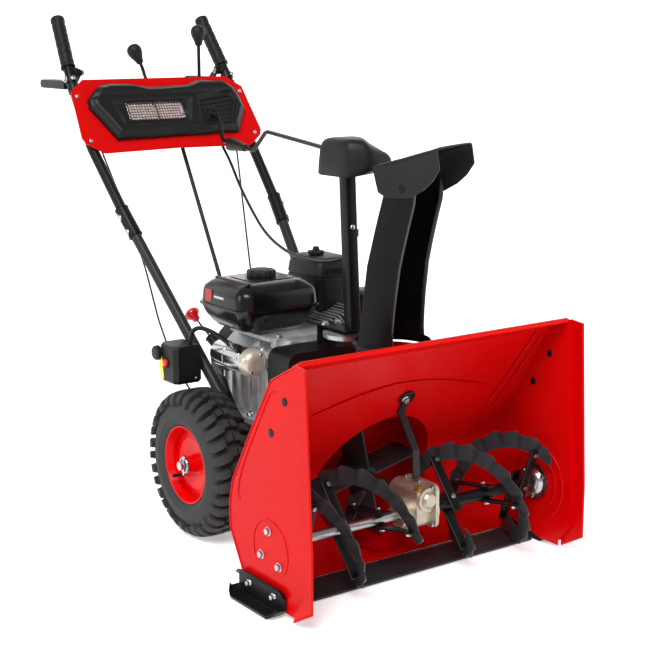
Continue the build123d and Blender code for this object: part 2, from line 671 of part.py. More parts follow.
SPEED_PIVOT = DASH.from_local_coords((SPEED_X, 68, -34))
SPEED_UP = DASH.y_dir
with BuildPart() as speed_lever:
    with BuildSketch(Plane(origin=SPEED_PIVOT, x_dir=(1, 0, 0), z_dir=DASH.z_dir)) as lever_plate:
        Circle(11)
        with Locations((0, 26)):
            Rectangle(12, 40)
        with Locations((26, 0)):
            Rectangle(46, 12)
    extrude(amount=2.5, both=True)
    with BuildLine():
        stem = FilletPolyline(SPEED_PIVOT + SPEED_UP * 40, SPEED_PIVOT + SPEED_UP * 66 + Vector(-4, 0, 0),
                              SPEED_PIVOT + SPEED_UP * 92 + Vector(-30, 0, 8), radius=24)
    with BuildSketch(Plane(origin=stem @ 0, z_dir=stem % 0)):
        Circle(4.5)
    sweep()
    with BuildSketch(Plane(origin=stem @ 1, z_dir=stem % 1)) as knob_foot:
        Circle(8)
    with BuildSketch(Plane(origin=stem @ 1 + (stem % 1) * 22, z_dir=stem % 1)):
        Circle(16)
    with BuildSketch(Plane(origin=stem @ 1 + (stem % 1) * 36, z_dir=stem % 1)):
        Circle(7)
    loft()
save(speed_lever.part, "speed_lever")

TILT_PIVOT = DASH.from_local_coords((TILT_X, 68, -38))
with BuildPart() as deflector_lever:
    with BuildSketch(Plane(origin=TILT_PIVOT, x_dir=(0, 1, 0), z_dir=(1, 0, 0))):
        Circle(11)
        with Locations((10, 26)):
            Rectangle(12, 46, rotation=-21)
    extrude(amount=2.5, both=True)
    with BuildSketch(Plane(origin=TILT_PIVOT + Vector(0, 18, 40))):
        Circle(4.5)
    extrude(amount=106)
    for lift, knob_r in ((134, 8), (162, 17), (186, 9)):
        with BuildSketch(Plane(origin=TILT_PIVOT + Vector(0, 18, lift))):
            Circle(knob_r)
    loft()
save(deflector_lever.part, "deflector_lever")

# Shift rod: pinned to the speed lever's foot above, to the shift arm below.
ROD_TOP, ROD_FOOT = point(40, 581, 910), point(40, 212, 250)
with BuildPart() as shift_rod:
    with BuildSketch(Plane(origin=ROD_FOOT, z_dir=ROD_TOP - ROD_FOOT)):
        Circle(5)
    extrude(amount=(ROD_TOP - ROD_FOOT).length)
save(shift_rod.part, "shift_rod")

# ---------------------------------------------------------------- crank and its post
CRANK_FRONT, CRANK_BACK = point(-9, -200, 853.7), DASH.from_local_coords((*CRANK_HOLE, -6))
crank_dir = (CRANK_BACK - CRANK_FRONT).normalized()
hang = (Vector(0, 0, -1) - crank_dir * Vector(0, 0, -1).dot(crank_dir)).normalized()
CRANK_THROW = 54.0


def on_crank(along, out=0.0):
    """A point on the crank, so far behind the hood end and so far below its axis."""
    return CRANK_FRONT + crank_dir * along + hang * out


CRANK_SPAN = (CRANK_BACK - CRANK_FRONT).length
GRIP_FROM, GRIP_TO = 492.0, 608.0
with BuildPart() as crank_rod:
    with BuildLine() as crank_path:
        FilletPolyline(on_crank(-12), on_crank(360), on_crank(448, CRANK_THROW), on_crank(CRANK_SPAN - 98, CRANK_THROW),
                       on_crank(CRANK_SPAN - 58), on_crank(CRANK_SPAN + 6), radius=13)
    with BuildSketch(Plane(origin=on_crank(-12), z_dir=crank_dir)):
        Circle(4)
    sweep()
    with BuildSketch(Plane(origin=on_crank(-16), z_dir=crank_dir)):
        Circle(12)
    extrude(amount=6)
save(crank_rod.part, "crank_rod")

with BuildPart() as crank_grip:
    with BuildSketch(Plane(origin=on_crank(GRIP_FROM, CRANK_THROW), z_dir=crank_dir)):
        RectangleRounded(24, 27, 6)
        Circle(4.05, mode=Mode.SUBTRACT)
    extrude(amount=GRIP_TO - GRIP_FROM - 10)
save(crank_grip.part, "crank_grip")

POST_HALF = 15.0
POST_FOOT_Z, POST_TOP_Z = 484.0, 812.0
with BuildPart() as chute_post:
    with BuildSketch(TOP.offset(POST_FOOT_Z)):
        with Locations((POST_X, POST_Y)):
            RectangleRounded(2 * POST_HALF, 2 * POST_HALF, 3)
            Rectangle(2 * POST_HALF - 4, 2 * POST_HALF - 4, mode=Mode.SUBTRACT)
    extrude(amount=POST_TOP_Z - POST_FOOT_Z)
    with BuildSketch(TOP.offset(POST_FOOT_Z - 4)):
        with Locations((POST_X, (POST_Y - 160) / 2 - 8)):
            Rectangle(52, 106)
        with Locations((POST_X, POST_Y)):
            Circle(7, mode=Mode.SUBTRACT)
    extrude(amount=4)
    with BuildSketch(TOP.offset(BELT_COVER_TOP + 0.1)):
        with Locations((POST_X, -168)):
            Rectangle(52, 4)
    extrude(amount=POST_FOOT_Z - BELT_COVER_TOP - 0.1)
save(chute_post.part, "chute_post")

HOOD_FOOT, HOOD_TOP = 806.0, 884.0
HOOD_PLAN = [(-46, -190), (40, -190), (46, -250), (62, -306), (0, -310), (-42, -282)]
with BuildPart() as gear_hood:
    with BuildSketch(TOP.offset(HOOD_FOOT)) as hood_plan:
        Polygon(*reversed(HOOD_PLAN), align=None)
        fillet(hood_plan.vertices(), 9)
    extrude(amount=HOOD_TOP - HOOD_FOOT, taper=4)
    with BuildSketch(SIDE.offset(-100)):
        Polygon((-186, 878), (-196, 890), (-330, 890), (-330, 872), (-300, 882), (-230, 884), align=None)
    extrude(amount=200, mode=Mode.SUBTRACT)
    offset(amount=-SHEET, openings=faces().sort_by(Axis.Z)[0])
    with BuildSketch(Plane(origin=on_crank(-6), z_dir=crank_dir)):
        Circle(4.06)
    extrude(amount=60, mode=Mode.SUBTRACT)
    with BuildSketch(TOP.offset(POST_TOP_Z)):
        with Locations((POST_X, POST_Y)):
            Rectangle(120, 2 * POST_HALF + 4)
            Circle(5.06, mode=Mode.SUBTRACT)
    extrude(amount=5)
    with BuildSketch(TOP.offset(HOOD_FOOT)):
        Rectangle(600, 1200)
        Polygon(*reversed(HOOD_PLAN), align=None, mode=Mode.SUBTRACT)
    extrude(amount=HOOD_TOP - HOOD_FOOT, taper=-4, mode=Mode.SUBTRACT)
save(gear_hood.part, "gear_hood")

# Upright drive shaft: a bevel wheel under the hood, a pinion at the chute's ring gear.
PINION_GEAR_R = hypot(POST_X, POST_Y - CHUTE_Y) - RING_GEAR_R - 0.5
BEVEL_R = 33.0
with BuildPart() as chute_drive_shaft:
    with BuildSketch(TOP.offset(CHUTE_RING_Z + 2)):
        with Locations((POST_X, POST_Y)):
            Circle(5)
    extrude(amount=376)
    with BuildSketch(TOP.offset(CHUTE_RING_Z + 4)):
        with Locations((POST_X, POST_Y)):
            Circle(PINION_GEAR_R)
    extrude(amount=9)
    with BuildSketch(TOP.offset(834)):
        with Locations((POST_X, POST_Y)):
            Circle(BEVEL_R)
    extrude(amount=6)
save(chute_drive_shaft.part, "chute_drive_shaft")

# ---------------------------------------------------------------- chute and deflector
turned = radians(CHUTE_TURN)
CHUTE = Plane(origin=(0, AXLE_Y + CHUTE_Y, 0), x_dir=(cos(turned), sin(turned), 0), z_dir=(0, 0, 1))
CHUTE_SIDE = Plane(origin=CHUTE.origin, x_dir=(sin(turned), -cos(turned), 0), z_dir=(-cos(turned), -sin(turned), 0))
# In CHUTE_SIDE the first coordinate runs out of the chute's mouth, the second up.
BACK_FOOT, BACK_MID, BACK_TOP = (-46, 478), (-31, 640), (6, 793)
DEFLECTOR_PIVOT = (56.0, 800.0)
CHUTE_SHEET = 2.5


with BuildPart() as chute_channel:
    with BuildSketch(CHUTE_SIDE.offset(-CHUTE_W / 2)):
        with BuildLine():
            Line((BACK_FOOT[0], 474), BACK_FOOT)
            ThreePointArc(BACK_FOOT, BACK_MID, BACK_TOP)
            Polyline(BACK_TOP, (16, 812), (78, 812), (76, 770))
            ThreePointArc((76, 770), (46, 640), (29, 500))
            Polyline((29, 500), (29, 474), (BACK_FOOT[0], 474))
        make_face()
    extrude(amount=CHUTE_W)
    with BuildSketch(CHUTE_SIDE.offset(-CHUTE_W / 2 + CHUTE_SHEET)):
        with BuildLine():
            Line((BACK_FOOT[0] + CHUTE_SHEET, 470), (BACK_FOOT[0] + CHUTE_SHEET, BACK_FOOT[1]))
            ThreePointArc((BACK_FOOT[0] + CHUTE_SHEET, BACK_FOOT[1]), (BACK_MID[0] + CHUTE_SHEET, BACK_MID[1]),
                          (BACK_TOP[0] + CHUTE_SHEET, BACK_TOP[1]))
            Polyline((BACK_TOP[0] + CHUTE_SHEET, BACK_TOP[1]), (0, 830), (130, 830), (130, 470),
                     (BACK_FOOT[0] + CHUTE_SHEET, 470))
        make_face()
    extrude(amount=CHUTE_W - 2 * CHUTE_SHEET, mode=Mode.SUBTRACT)
    with BuildSketch(TOP.offset(CHUTE_RING_Z + 0.5)):
        with Locations((0, CHUTE_Y)):
            Circle(74)
    extrude(amount=44)
    with BuildSketch(TOP.offset(CHUTE_RING_Z + 4)):
        with Locations((0, CHUTE_Y)):
            Circle(RING_GEAR_R)
    extrude(amount=9)
    with BuildSketch(TOP.offset(CHUTE_RING_Z - 2)):
        with Locations((0, CHUTE_Y)):
            Circle(66)
    extrude(amount=60, mode=Mode.SUBTRACT)
    with BuildSketch(CHUTE_SIDE.offset(-CHUTE_W)):
        with Locations(DEFLECTOR_PIVOT):
            Circle(3.56)
    extrude(amount=2 * CHUTE_W, mode=Mode.SUBTRACT)
save(chute_channel.part, "chute_channel")

DEFLECTOR_SIDE = [(-10, 840), (133, 883), (140, 842), (124, 818), (104, 798), (76, 782), (22, 780), (5, 790)]
HALF_IN = CHUTE_W / 2 + 0.6
with BuildPart() as deflector:
    for half in (-1, 1):
        with BuildSketch(CHUTE_SIDE.offset(half * HALF_IN)):
            Polygon(*DEFLECTOR_SIDE, align=None)
        extrude(amount=half * CHUTE_SHEET)
        with BuildSketch(CHUTE_SIDE.offset(half * (CHUTE_W / 2 - 6))):
            with Locations(DEFLECTOR_PIVOT):
                Circle(3.5)
        extrude(amount=half * 12)
    with BuildSketch(CHUTE_SIDE.offset(-HALF_IN - CHUTE_SHEET)):
        Polygon((-10, 840), (133, 883), (133.7, 880.6), (-9.3, 837.6), align=None)
    extrude(amount=2 * (HALF_IN + CHUTE_SHEET))
save(deflector.part, "deflector")

# ---------------------------------------------------------------- engine
with BuildPart() as crankcase:
    with BuildSketch(FRONT.offset(128)) as case_outline:
        Polygon((-112, 243), (72, 243), (72, 330), (40, 418), (-70, 440), (-112, 400), align=None)
        fillet(case_outline.vertices().group_by(Axis.Z)[1:], 12)
    extrude(amount=-220)
    with BuildSketch(TOP.offset(DECK_Z + 0.1)):
        with Locations((-20, -10)):
            RectangleRounded(210, 190, 10)
    extrude(amount=12)
    with BuildSketch(FRONT.offset(127)):
        with Locations((ENGINE_X, CRANK_Z)):
            Circle(10.05)
    extrude(amount=-40, mode=Mode.SUBTRACT)
    with BuildSketch(FRONT.offset(88)):
        with Locations((ENGINE_X, CRANK_Z)):
            Circle(10.5)
    extrude(amount=41, mode=Mode.SUBTRACT)
    with BuildSketch(TOP.offset(258)):
        with Locations((-20, -18)):
            Rectangle(156, 180)
    extrude(amount=126, mode=Mode.SUBTRACT)
save(crankcase.part, "crankcase")

CYLINDER_TILT = 25.0
BORE = Plane(origin=point(48, -34, 388), x_dir=(0, 1, 0),
             z_dir=(cos(radians(CYLINDER_TILT)), 0, sin(radians(CYLINDER_TILT))))
FIN_COUNT, FIN_PITCH = 9, 9.5
with BuildPart() as cylinder_head:
    with BuildSketch(BORE.offset(24)):
        Rectangle(96, 84)
    extrude(amount=FIN_COUNT * FIN_PITCH + 4)
    for fin in range(FIN_COUNT):
        with BuildSketch(BORE.offset(28 + fin * FIN_PITCH)):
            RectangleRounded(128, 122, 18)
        extrude(amount=3)
    with BuildSketch(BORE.offset(28.1 + FIN_COUNT * FIN_PITCH)):
        RectangleRounded(92, 76, 16)
    extrude(amount=26, taper=6)
save(cylinder_head.part, "cylinder_head")

with BuildPart() as fuel_tank:
    with BuildSketch(TOP.offset(508)) as tank_belt:
        with Locations((-68, 6)):
            RectangleRounded(212, 196, 30)
    extrude(amount=54, taper=12)
    with BuildSketch(TOP.offset(508)):
        with Locations((-68, 6)):
            RectangleRounded(212, 196, 30)
    extrude(amount=-54, taper=16)
save(fuel_tank.part, "fuel_tank")

CAP_AT = (-58.0, 12.0)
with BuildPart() as fuel_cap:
    with BuildSketch(TOP.offset(562.4)):
        with Locations(CAP_AT):
            Circle(29)
            with PolarLocations(30, 10):
                Circle(4)
    extrude(amount=18)
save(fuel_cap.part, "fuel_cap")

with BuildPart() as air_box:
    with BuildSketch(TOP.offset(500)):
        with Locations((104, 40)):
            RectangleRounded(124, 150, 16)
    extrude(amount=96, taper=3)
    with BuildSketch(TOP.offset(494)):
        with Locations((104, 62)):
            RectangleRounded(100, 76, 12)
    extrude(amount=6)
save(air_box.part, "air_box")

CHOKE_AT = (96.0, 18.0)
with BuildPart() as choke_knob:
    with BuildSketch(TOP.offset(596.4)):
        with Locations(CHOKE_AT):
            Circle(19)
    extrude(amount=8)
    with BuildSketch(TOP.offset(604.4)):
        with Locations(CHOKE_AT):
            SlotOverall(36, 10)
    extrude(amount=11)
save(choke_knob.part, "choke_knob")

with BuildPart() as muffler_guard:
    with BuildSketch(TOP.offset(466)):
        with Locations((140, -148)):
            RectangleRounded(112, 76, 12)
    extrude(amount=72)
save(muffler_guard.part, "muffler_guard")

RECOIL_OUT, RECOIL_HANDLE = point(-118, 128, 404), point(-137, 178, 453)
pull = (RECOIL_HANDLE - RECOIL_OUT).normalized()
with BuildPart() as recoil_cover:
    with BuildSketch(FRONT.offset(-94)):
        with Locations((ENGINE_X, CRANK_Z + 4)):
            Circle(98)
    extrude(amount=-44)
    with BuildSketch(FRONT.offset(-138)):
        with Locations((ENGINE_X, CRANK_Z + 4)):
            Circle(84)
    extrude(amount=-26, taper=20)
    with BuildSketch(Plane(origin=RECOIL_OUT - pull * 34, z_dir=pull)):
        Circle(12)
    extrude(amount=40)
    with BuildSketch(Plane(origin=RECOIL_OUT - pull * 50, z_dir=pull)):
        Circle(2.9)
    extrude(amount=80, mode=Mode.SUBTRACT)
save(recoil_cover.part, "recoil_cover")

with BuildPart() as recoil_handle:
    with BuildSketch(Plane(origin=RECOIL_HANDLE - pull * 13, z_dir=pull)):
        Circle(7)
    with BuildSketch(Plane(origin=RECOIL_HANDLE + pull * 6, z_dir=pull)):
        Circle(17)
    with BuildSketch(Plane(origin=RECOIL_HANDLE + pull * 19, z_dir=pull)):
        Circle(12)
    loft()
    with BuildSketch(Plane(origin=RECOIL_HANDLE - pull * 120, z_dir=pull)):
        Circle(2.2)
    extrude(amount=112)
save(recoil_handle.part, "recoil_handle")

STARTER_X, STARTER_Z = -148.0, 396.0
with BuildPart() as starter_motor:
    with BuildSketch(FRONT.offset(78)):
        with Locations((STARTER_X, STARTER_Z)):
            Circle(29)
    extrude(amount=-122)
    with BuildSketch(FRONT.offset(0)):
        with Locations((STARTER_X + 14, STARTER_Z - 10)):
            Rectangle(44, 52)
    extrude(amount=-40)
    with BuildSketch(FRONT.offset(62)):
        with Locations((STARTER_X - 21, STARTER_Z + 30)):
            Circle(9)
    extrude(amount=16)
    with BuildSketch(FRONT.offset(78.2)):
        with Locations((STARTER_X, STARTER_Z)):
            Circle(32)
    extrude(amount=30, taper=14)
save(starter_motor.part, "starter_motor")

BOX_AT, BOX_SIZE = (-223.0, 100.0, 372.0), (66.0, 80.0, 86.0)
BUTTON_AT = (BOX_AT[1] + 8, BOX_AT[2] - 8)
with BuildPart() as switch_box:
    with BuildSketch(TOP.offset(BOX_AT[2] - BOX_SIZE[2] / 2)):
        with Locations(BOX_AT[:2]):
            RectangleRounded(BOX_SIZE[0], BOX_SIZE[1], 6)
    extrude(amount=BOX_SIZE[2])
    with BuildSketch(SIDE.offset(BOX_AT[0] - BOX_SIZE[0] / 2)):
        with Locations((BOX_AT[1] + 26, BOX_AT[2] + 20)):
            Circle(22)
    extrude(amount=-16)
    with BuildSketch(SIDE.offset(BOX_AT[0] - BOX_SIZE[0] / 2)):
        with Locations(BUTTON_AT):
            Circle(9.3)
    extrude(amount=20, mode=Mode.SUBTRACT)
save(switch_box.part, "switch_box")

with BuildPart() as starter_button:
    with BuildSketch(SIDE.offset(BOX_AT[0] - BOX_SIZE[0] / 2 + 12)):
        with Locations(BUTTON_AT):
            Circle(9)
    extrude(amount=-19)
save(starter_button.part, "starter_button")

# ---------------------------------------------------------------- control cables
# Each route is (radius, [points]); the two clutch cables share one node.
ROUTES = {
    "deflector_cable": (3.6, [[(138, 545, 880), (137, 495, 815), (132, 445, 776), (110, 372, 728), (80, 268, 676),
                               (50, 158, 630), (28, 40, 606), (18, -60, 600), (15, -150, 608), (14.5, -228, 634),
                               (14.5, -243, 690)]]),
    "clutch_cables": (2.2, [[(-203, 604, 972), (-203, 562, 905), (-202, 478, 800), (-198, 392, 690),
                             (-196, 300, 560), (-196, 240, 440), (-186, 190, 345), (-160, 130, 262)],
                            [(203, 604, 972), (194, 558, 900), (165, 466, 800), (128, 383, 683), (82, 280, 538),
                             (64, 226, 440), (56, 180, 340), (50, 130, 262)]]),
    "starter_cable": (5.0, [[(-205, 78, 415.6), (-205, 78, 440), (-196, 60, 456), (-186, 22, 452), (-176, -16, 438),
                             (-169, -42, 427), (-169, -61.8, 426.5)]]),
}
for label, (radius, routes) in ROUTES.items():
    with BuildPart() as cable:
        for stops in routes:
            route = [point(*stop) for stop in stops]
            print(label, "radii", [round(radius_here) for radius_here in corner_radii(route)])
            with BuildLine():
                FilletPolyline(*route, radius=corner_radii(route))
            with BuildSketch(Plane(origin=route[0], z_dir=route[1] - route[0])):
                Circle(radius)
            sweep()
    save(cable.part, label)

# ---------------------------------------------------------------- fasteners
out_spots = []                                # (place, outward direction, radius, height) of each bolt head
for side in SIDES.values():
    out = Vector(side, 0, 0)
    out_spots += [(point(side * (HALF_WIDTH + 0.05), y, z), out, 6.5, 5) for y, z in BEARING_BOLTS]
    out_spots += [(point(side * (HALF_WIDTH + 3.8), y, z), out, 8, 6) for y, z in SKID_BOLTS]
    foot, top = (point(side * spot[0], *spot[1:]) for spot in (LOW_FOOT, LOW_TOP))
    for lift in (-50, -8):
        out_spots.append((top + (top - foot).normalized() * lift + out * (TUBE_R + 4.6), out, 7, 6))
with BuildPart() as fasteners:
    for spot, out, radius, height in out_spots:
        with BuildSketch(Plane(origin=spot, z_dir=out)):
            RegularPolygon(radius, 6)
        extrude(amount=height)
save(fasteners.part, "fasteners")
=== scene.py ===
"""Two-stage snow blower: the visible pieces and finishes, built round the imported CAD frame.

Sizes are written in millimetres from the wheel axle's line on the ground: x across
(+x is the operator's left), y rearward, z up.  Shape turns them into metres.
"""
from __future__ import annotations

import json
import logging
import math
from dataclasses import dataclass, field
from enum import Enum

import bmesh
import bpy
from mathutils import Matrix, Vector

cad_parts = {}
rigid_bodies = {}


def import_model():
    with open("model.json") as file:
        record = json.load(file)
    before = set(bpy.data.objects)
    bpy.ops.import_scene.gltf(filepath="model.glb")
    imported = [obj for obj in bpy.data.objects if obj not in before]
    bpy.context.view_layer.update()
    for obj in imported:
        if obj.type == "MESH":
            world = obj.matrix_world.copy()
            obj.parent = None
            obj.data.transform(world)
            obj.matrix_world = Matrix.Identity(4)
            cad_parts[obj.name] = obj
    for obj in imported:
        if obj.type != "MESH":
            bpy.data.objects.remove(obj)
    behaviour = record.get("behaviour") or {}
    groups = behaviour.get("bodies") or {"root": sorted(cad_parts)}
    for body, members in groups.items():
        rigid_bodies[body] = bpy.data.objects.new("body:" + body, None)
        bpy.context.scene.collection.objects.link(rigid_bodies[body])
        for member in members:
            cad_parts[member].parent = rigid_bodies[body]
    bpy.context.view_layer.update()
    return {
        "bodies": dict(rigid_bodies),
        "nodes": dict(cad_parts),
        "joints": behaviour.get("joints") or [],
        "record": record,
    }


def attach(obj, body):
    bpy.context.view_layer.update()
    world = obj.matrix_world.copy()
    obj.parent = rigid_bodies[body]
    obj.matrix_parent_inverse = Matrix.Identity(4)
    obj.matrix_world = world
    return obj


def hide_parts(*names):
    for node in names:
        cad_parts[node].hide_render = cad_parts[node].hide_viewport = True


log = logging.getLogger("snow_blower")
MM = 0.001
AXLE_Y = -88.0                 # the axle's place along the machine, in the frame
SIDES = {"right": -1, "left": 1}
Point = tuple[float, ...]


# ---------------------------------------------------------------- materials
def linear(hex_colour: str) -> tuple[float, float, float, float]:
    """Turn an sRGB hex colour into linear light.

    Args:
        hex_colour: six hex digits with a leading hash.

    Returns:
        Red, green, blue and alpha, in linear light.
    """
    parts = [int(hex_colour[i:i + 2], 16) / 255 for i in (1, 3, 5)]
    red, green, blue = (c / 12.92 if c <= 0.04045 else ((c + 0.055) / 1.055) ** 2.4 for c in parts)
    return red, green, blue, 1.0


def add_node(tree: bpy.types.NodeTree, kind: str, settings: dict | None = None,
             inputs: dict | None = None) -> bpy.types.Node:
    """Add one node, set it up and link it.

    Args:
        tree: the material's node tree.
        kind: the node's Blender type name, without "ShaderNode".
        settings: the node's own properties.
        inputs: socket name or index to a value, or to an output socket to link.

    Returns:
        The new node.
    """
    node = tree.nodes.new("ShaderNode" + kind)
    for name, value in (settings or {}).items():
        setattr(node, name, value)
    for name, value in (inputs or {}).items():
        if isinstance(value, bpy.types.NodeSocket):
            tree.links.new(value, node.inputs[name])
        else:
            node.inputs[name].default_value = value
    return node


@dataclass(frozen=True)
class Finish:
    """One real surface: its colour, how it takes light and the texture its making left."""

    name: str
    colour: str
    shade: str
    slot: str
    roughness: tuple[float, float] = (0.4, 0.5)
    metallic: float = 0.0
    ior: float = 1.5
    coat: float = 0.0
    coat_roughness: float = 0.05
    tone_mm: float = 60.0          # size of the slow patches of colour
    grain_mm: float = 1.5          # size of the surface texture
    grain_depth_mm: float = 0.1
    stretch: Point = (1.0, 1.0, 1.0)
    edge_wear_and_highlight: str | None = None        # colour painted along convex edges: a painted highlight on the red, edge wear and a painted highlight on the black finishes
    glow: float = 0.0
    clear: float = 0.0

    def material(self) -> bpy.types.Material:
        """Build the material once, or return the one already built."""
        known = bpy.data.materials.get(self.name)
        if known:
            return known
        made = bpy.data.materials.new(self.name)
        made.use_nodes = True
        tree = made.node_tree
        shader = tree.nodes["Principled BSDF"]
        coords = add_node(tree, "TexCoord")
        run = add_node(tree, "Mapping", inputs={"Vector": coords.outputs["Object"], "Scale": self.stretch})
        tone = add_node(tree, "TexNoise", inputs={"Vector": run.outputs[0],
                                                  "Scale": 1 / (self.tone_mm * MM), "Detail": 3.0})
        mix = add_node(tree, "Mix", {"data_type": "RGBA"},
                       {0: tone.outputs["Fac"], 6: linear(self.colour), 7: linear(self.shade)})
        colour = mix.outputs[2]
        # Convex edges, found by pointiness, are mixed towards a lighter colour: a painted edge highlight,
        # with edge wear too on the black finishes.
        if self.edge_wear_and_highlight:
            edge = add_node(tree, "NewGeometry")
            wear_and_highlight_mask = add_node(tree, "MapRange", inputs={"Value": edge.outputs["Pointiness"],
                                                        "From Min": 0.56, "From Max": 0.66, "To Max": 0.55})
            colour = add_node(tree, "Mix", {"data_type": "RGBA"},
                              {0: wear_and_highlight_mask.outputs[0], 6: colour, 7: linear(self.edge_wear_and_highlight)}).outputs[2]
        grain = add_node(tree, "TexNoise", inputs={"Vector": run.outputs[0],
                                                   "Scale": 1 / (self.grain_mm * MM), "Detail": 4.0})
        low, high = self.roughness
        sheen = add_node(tree, "MapRange", inputs={"Value": grain.outputs["Fac"], "From Min": 0.3,
                                                   "From Max": 0.7, "To Min": low, "To Max": high})
        bump = add_node(tree, "Bump", inputs={"Height": grain.outputs["Fac"],
                                              "Distance": self.grain_depth_mm * MM, "Strength": 1.0})
        for socket, output in (("Base Color", colour), ("Roughness", sheen.outputs[0]),
                               ("Normal", bump.outputs[0])):
            tree.links.new(output, shader.inputs[socket])
        for socket, value in (("Metallic", self.metallic), ("IOR", self.ior), ("Coat Weight", self.coat),
                              ("Coat Roughness", self.coat_roughness), ("Transmission Weight", self.clear)):
            shader.inputs[socket].default_value = value
        if self.glow:
            shader.inputs["Emission Color"].default_value = linear(self.colour)
            shader.inputs["Emission Strength"].default_value = self.glow
        return made


# The red and black finishes have a lower index of refraction than real paint or plastic, near 1.5, so
# that they stay deep in a white surround.
# Baked polyester powder coat on pressed steel: deep red with a faint orange peel; the brighter red along
# its edges is a painted highlight.
RED_POWDER = Finish("red_powder_coat", "#C80004", "#B80003", "red_paint", (0.24, 0.34), ior=1.18, coat=0.02,
                    coat_roughness=0.1, tone_mm=220, grain_mm=3.0, grain_depth_mm=0.02, edge_wear_and_highlight="#DA1610")
RIM_RED = Finish("red_wheel_enamel", "#D80006", "#C40004", "rim_red", (0.24, 0.36), ior=1.25, coat=0.05,
                 tone_mm=90, grain_mm=2.5, grain_depth_mm=0.03)
# Black powder coat on tube and plate: a close satin with a lighter grey painted on its corners, edge wear
# and a painted highlight.
BLACK_POWDER = Finish("black_powder_coat", "#0E0E0F", "#151516", "black_steel", (0.27, 0.4), ior=1.24,
                      coat=0.02, tone_mm=80, grain_mm=1.2, grain_depth_mm=0.03, edge_wear_and_highlight="#3A3A3C")
# Auger enamel: its lighter grey along the edges is edge wear and a painted highlight.
AUGER_BLACK = Finish("auger_enamel", "#0B0B0C", "#121213", "auger_black", (0.26, 0.42), ior=1.26, coat=0.02,
                     tone_mm=50, grain_mm=2.0, grain_depth_mm=0.05, edge_wear_and_highlight="#55565A")
DARK_FRAME = Finish("frame_enamel", "#0A0A0B", "#101011", "black_steel", (0.35, 0.5), ior=1.3, tone_mm=60,
                    grain_mm=1.6, grain_depth_mm=0.05)
# Turned steel bar: lathe lines run round it, so the grain is stretched across its length.
TURNED_STEEL = Finish("turned_steel", "#B9BABC", "#8C8D90", "steel", (0.2, 0.36), metallic=1.0, tone_mm=30,
                      grain_mm=1.0, grain_depth_mm=0.04, stretch=(6.0, 1.0, 1.0))
# Bright zinc on bolts and hub hardware: bluish white with small dark freckles.
ZINC = Finish("bright_zinc", "#DADCDF", "#9C9EA3", "zinc", (0.16, 0.32), metallic=1.0, tone_mm=6,
              grain_mm=1.0, grain_depth_mm=0.03)
# Die-cast aluminium: pale grey with a sandy skin and duller patches.
CAST = Finish("die_cast_aluminium", "#D6D7D8", "#A3A4A6", "cast_aluminium", (0.3, 0.5), metallic=0.6,
              tone_mm=18, grain_mm=1.1, grain_depth_mm=0.14)
CHAMPAGNE_CAST = Finish("champagne_casting", "#CFC6B4", "#A29A8A", "champagne_cast", (0.34, 0.52),
                        metallic=0.85, tone_mm=14, grain_mm=1.1, grain_depth_mm=0.14)
CHAMPAGNE_PAINT = Finish("champagne_lacquer", "#CFC5B5", "#BCB2A3", "starter_metal", (0.26, 0.36),
                         metallic=0.45, coat=0.4, tone_mm=20, grain_mm=0.8, grain_depth_mm=0.02)
STARTER_STEEL = Finish("plated_motor_case", "#D6D7D8", "#A5A6A8", "starter_metal", (0.12, 0.24),
                       metallic=1.0, tone_mm=24, grain_mm=1.0, grain_depth_mm=0.02, stretch=(1.0, 0.2, 1.0))
IRON = Finish("machined_iron", "#5E5F62", "#3E3F42", "pulley_iron", (0.3, 0.46), metallic=0.9, tone_mm=14,
              grain_mm=1.0, grain_depth_mm=0.06)
# Tyre rubber: its lighter grey along the edges is edge wear and a painted highlight.
TREAD = Finish("tyre_rubber", "#0E0E0F", "#151516", "tyre_rubber", (0.62, 0.8), ior=1.32, tone_mm=26,
               grain_mm=1.4, grain_depth_mm=0.2, edge_wear_and_highlight="#3C3B39")
RUBBER = Finish("soft_rubber", "#0D0D0E", "#141415", "rubber_black", (0.42, 0.58), ior=1.32, tone_mm=20,
                grain_mm=0.9, grain_depth_mm=0.08)
CABLE = Finish("cable_jacket", "#0C0C0D", "#131314", "rubber_black", (0.3, 0.42), ior=1.32, tone_mm=12,
               grain_mm=0.8, grain_depth_mm=0.04)
# Rotomoulded polyethylene chute: satin, with long soft highlights.
CHUTE_PLASTIC = Finish("moulded_polyethylene", "#0D0D0E", "#131314", "chute_plastic", (0.24, 0.36),
                       ior=1.22, tone_mm=120, grain_mm=1.4, grain_depth_mm=0.04)
# Injection-moulded ABS and nylon covers: charcoal with a fine leathery grain.
CHARCOAL = Finish("grained_charcoal_abs", "#141416", "#0F0F11", "chute_plastic", (0.4, 0.54), ior=1.34,
                  tone_mm=50, grain_mm=0.9, grain_depth_mm=0.1)
BLACK_ABS = Finish("grained_black_abs", "#0D0D0E", "#131314", "housing_plastic", (0.4, 0.54), ior=1.34,
                   tone_mm=40, grain_mm=0.9, grain_depth_mm=0.08)
PANEL_ABS = Finish("moulded_dash_abs", "#111113", "#0C0C0E", "housing_plastic", (0.36, 0.5), ior=1.34,
                   tone_mm=60, grain_mm=0.8, grain_depth_mm=0.08)
TANK_GLOSS = Finish("gloss_black_tank", "#09090A", "#0E0E0F", "tank_gloss", (0.18, 0.26), ior=1.38,
                    coat=0.1, coat_roughness=0.12, tone_mm=120, grain_mm=5.0, grain_depth_mm=0.02)
RED_GLOSS = Finish("red_moulded_nylon", "#D60812", "#B9060F", "knob_red", (0.2, 0.3), ior=1.53, coat=0.3,
                   tone_mm=14, grain_mm=1.0, grain_depth_mm=0.02)
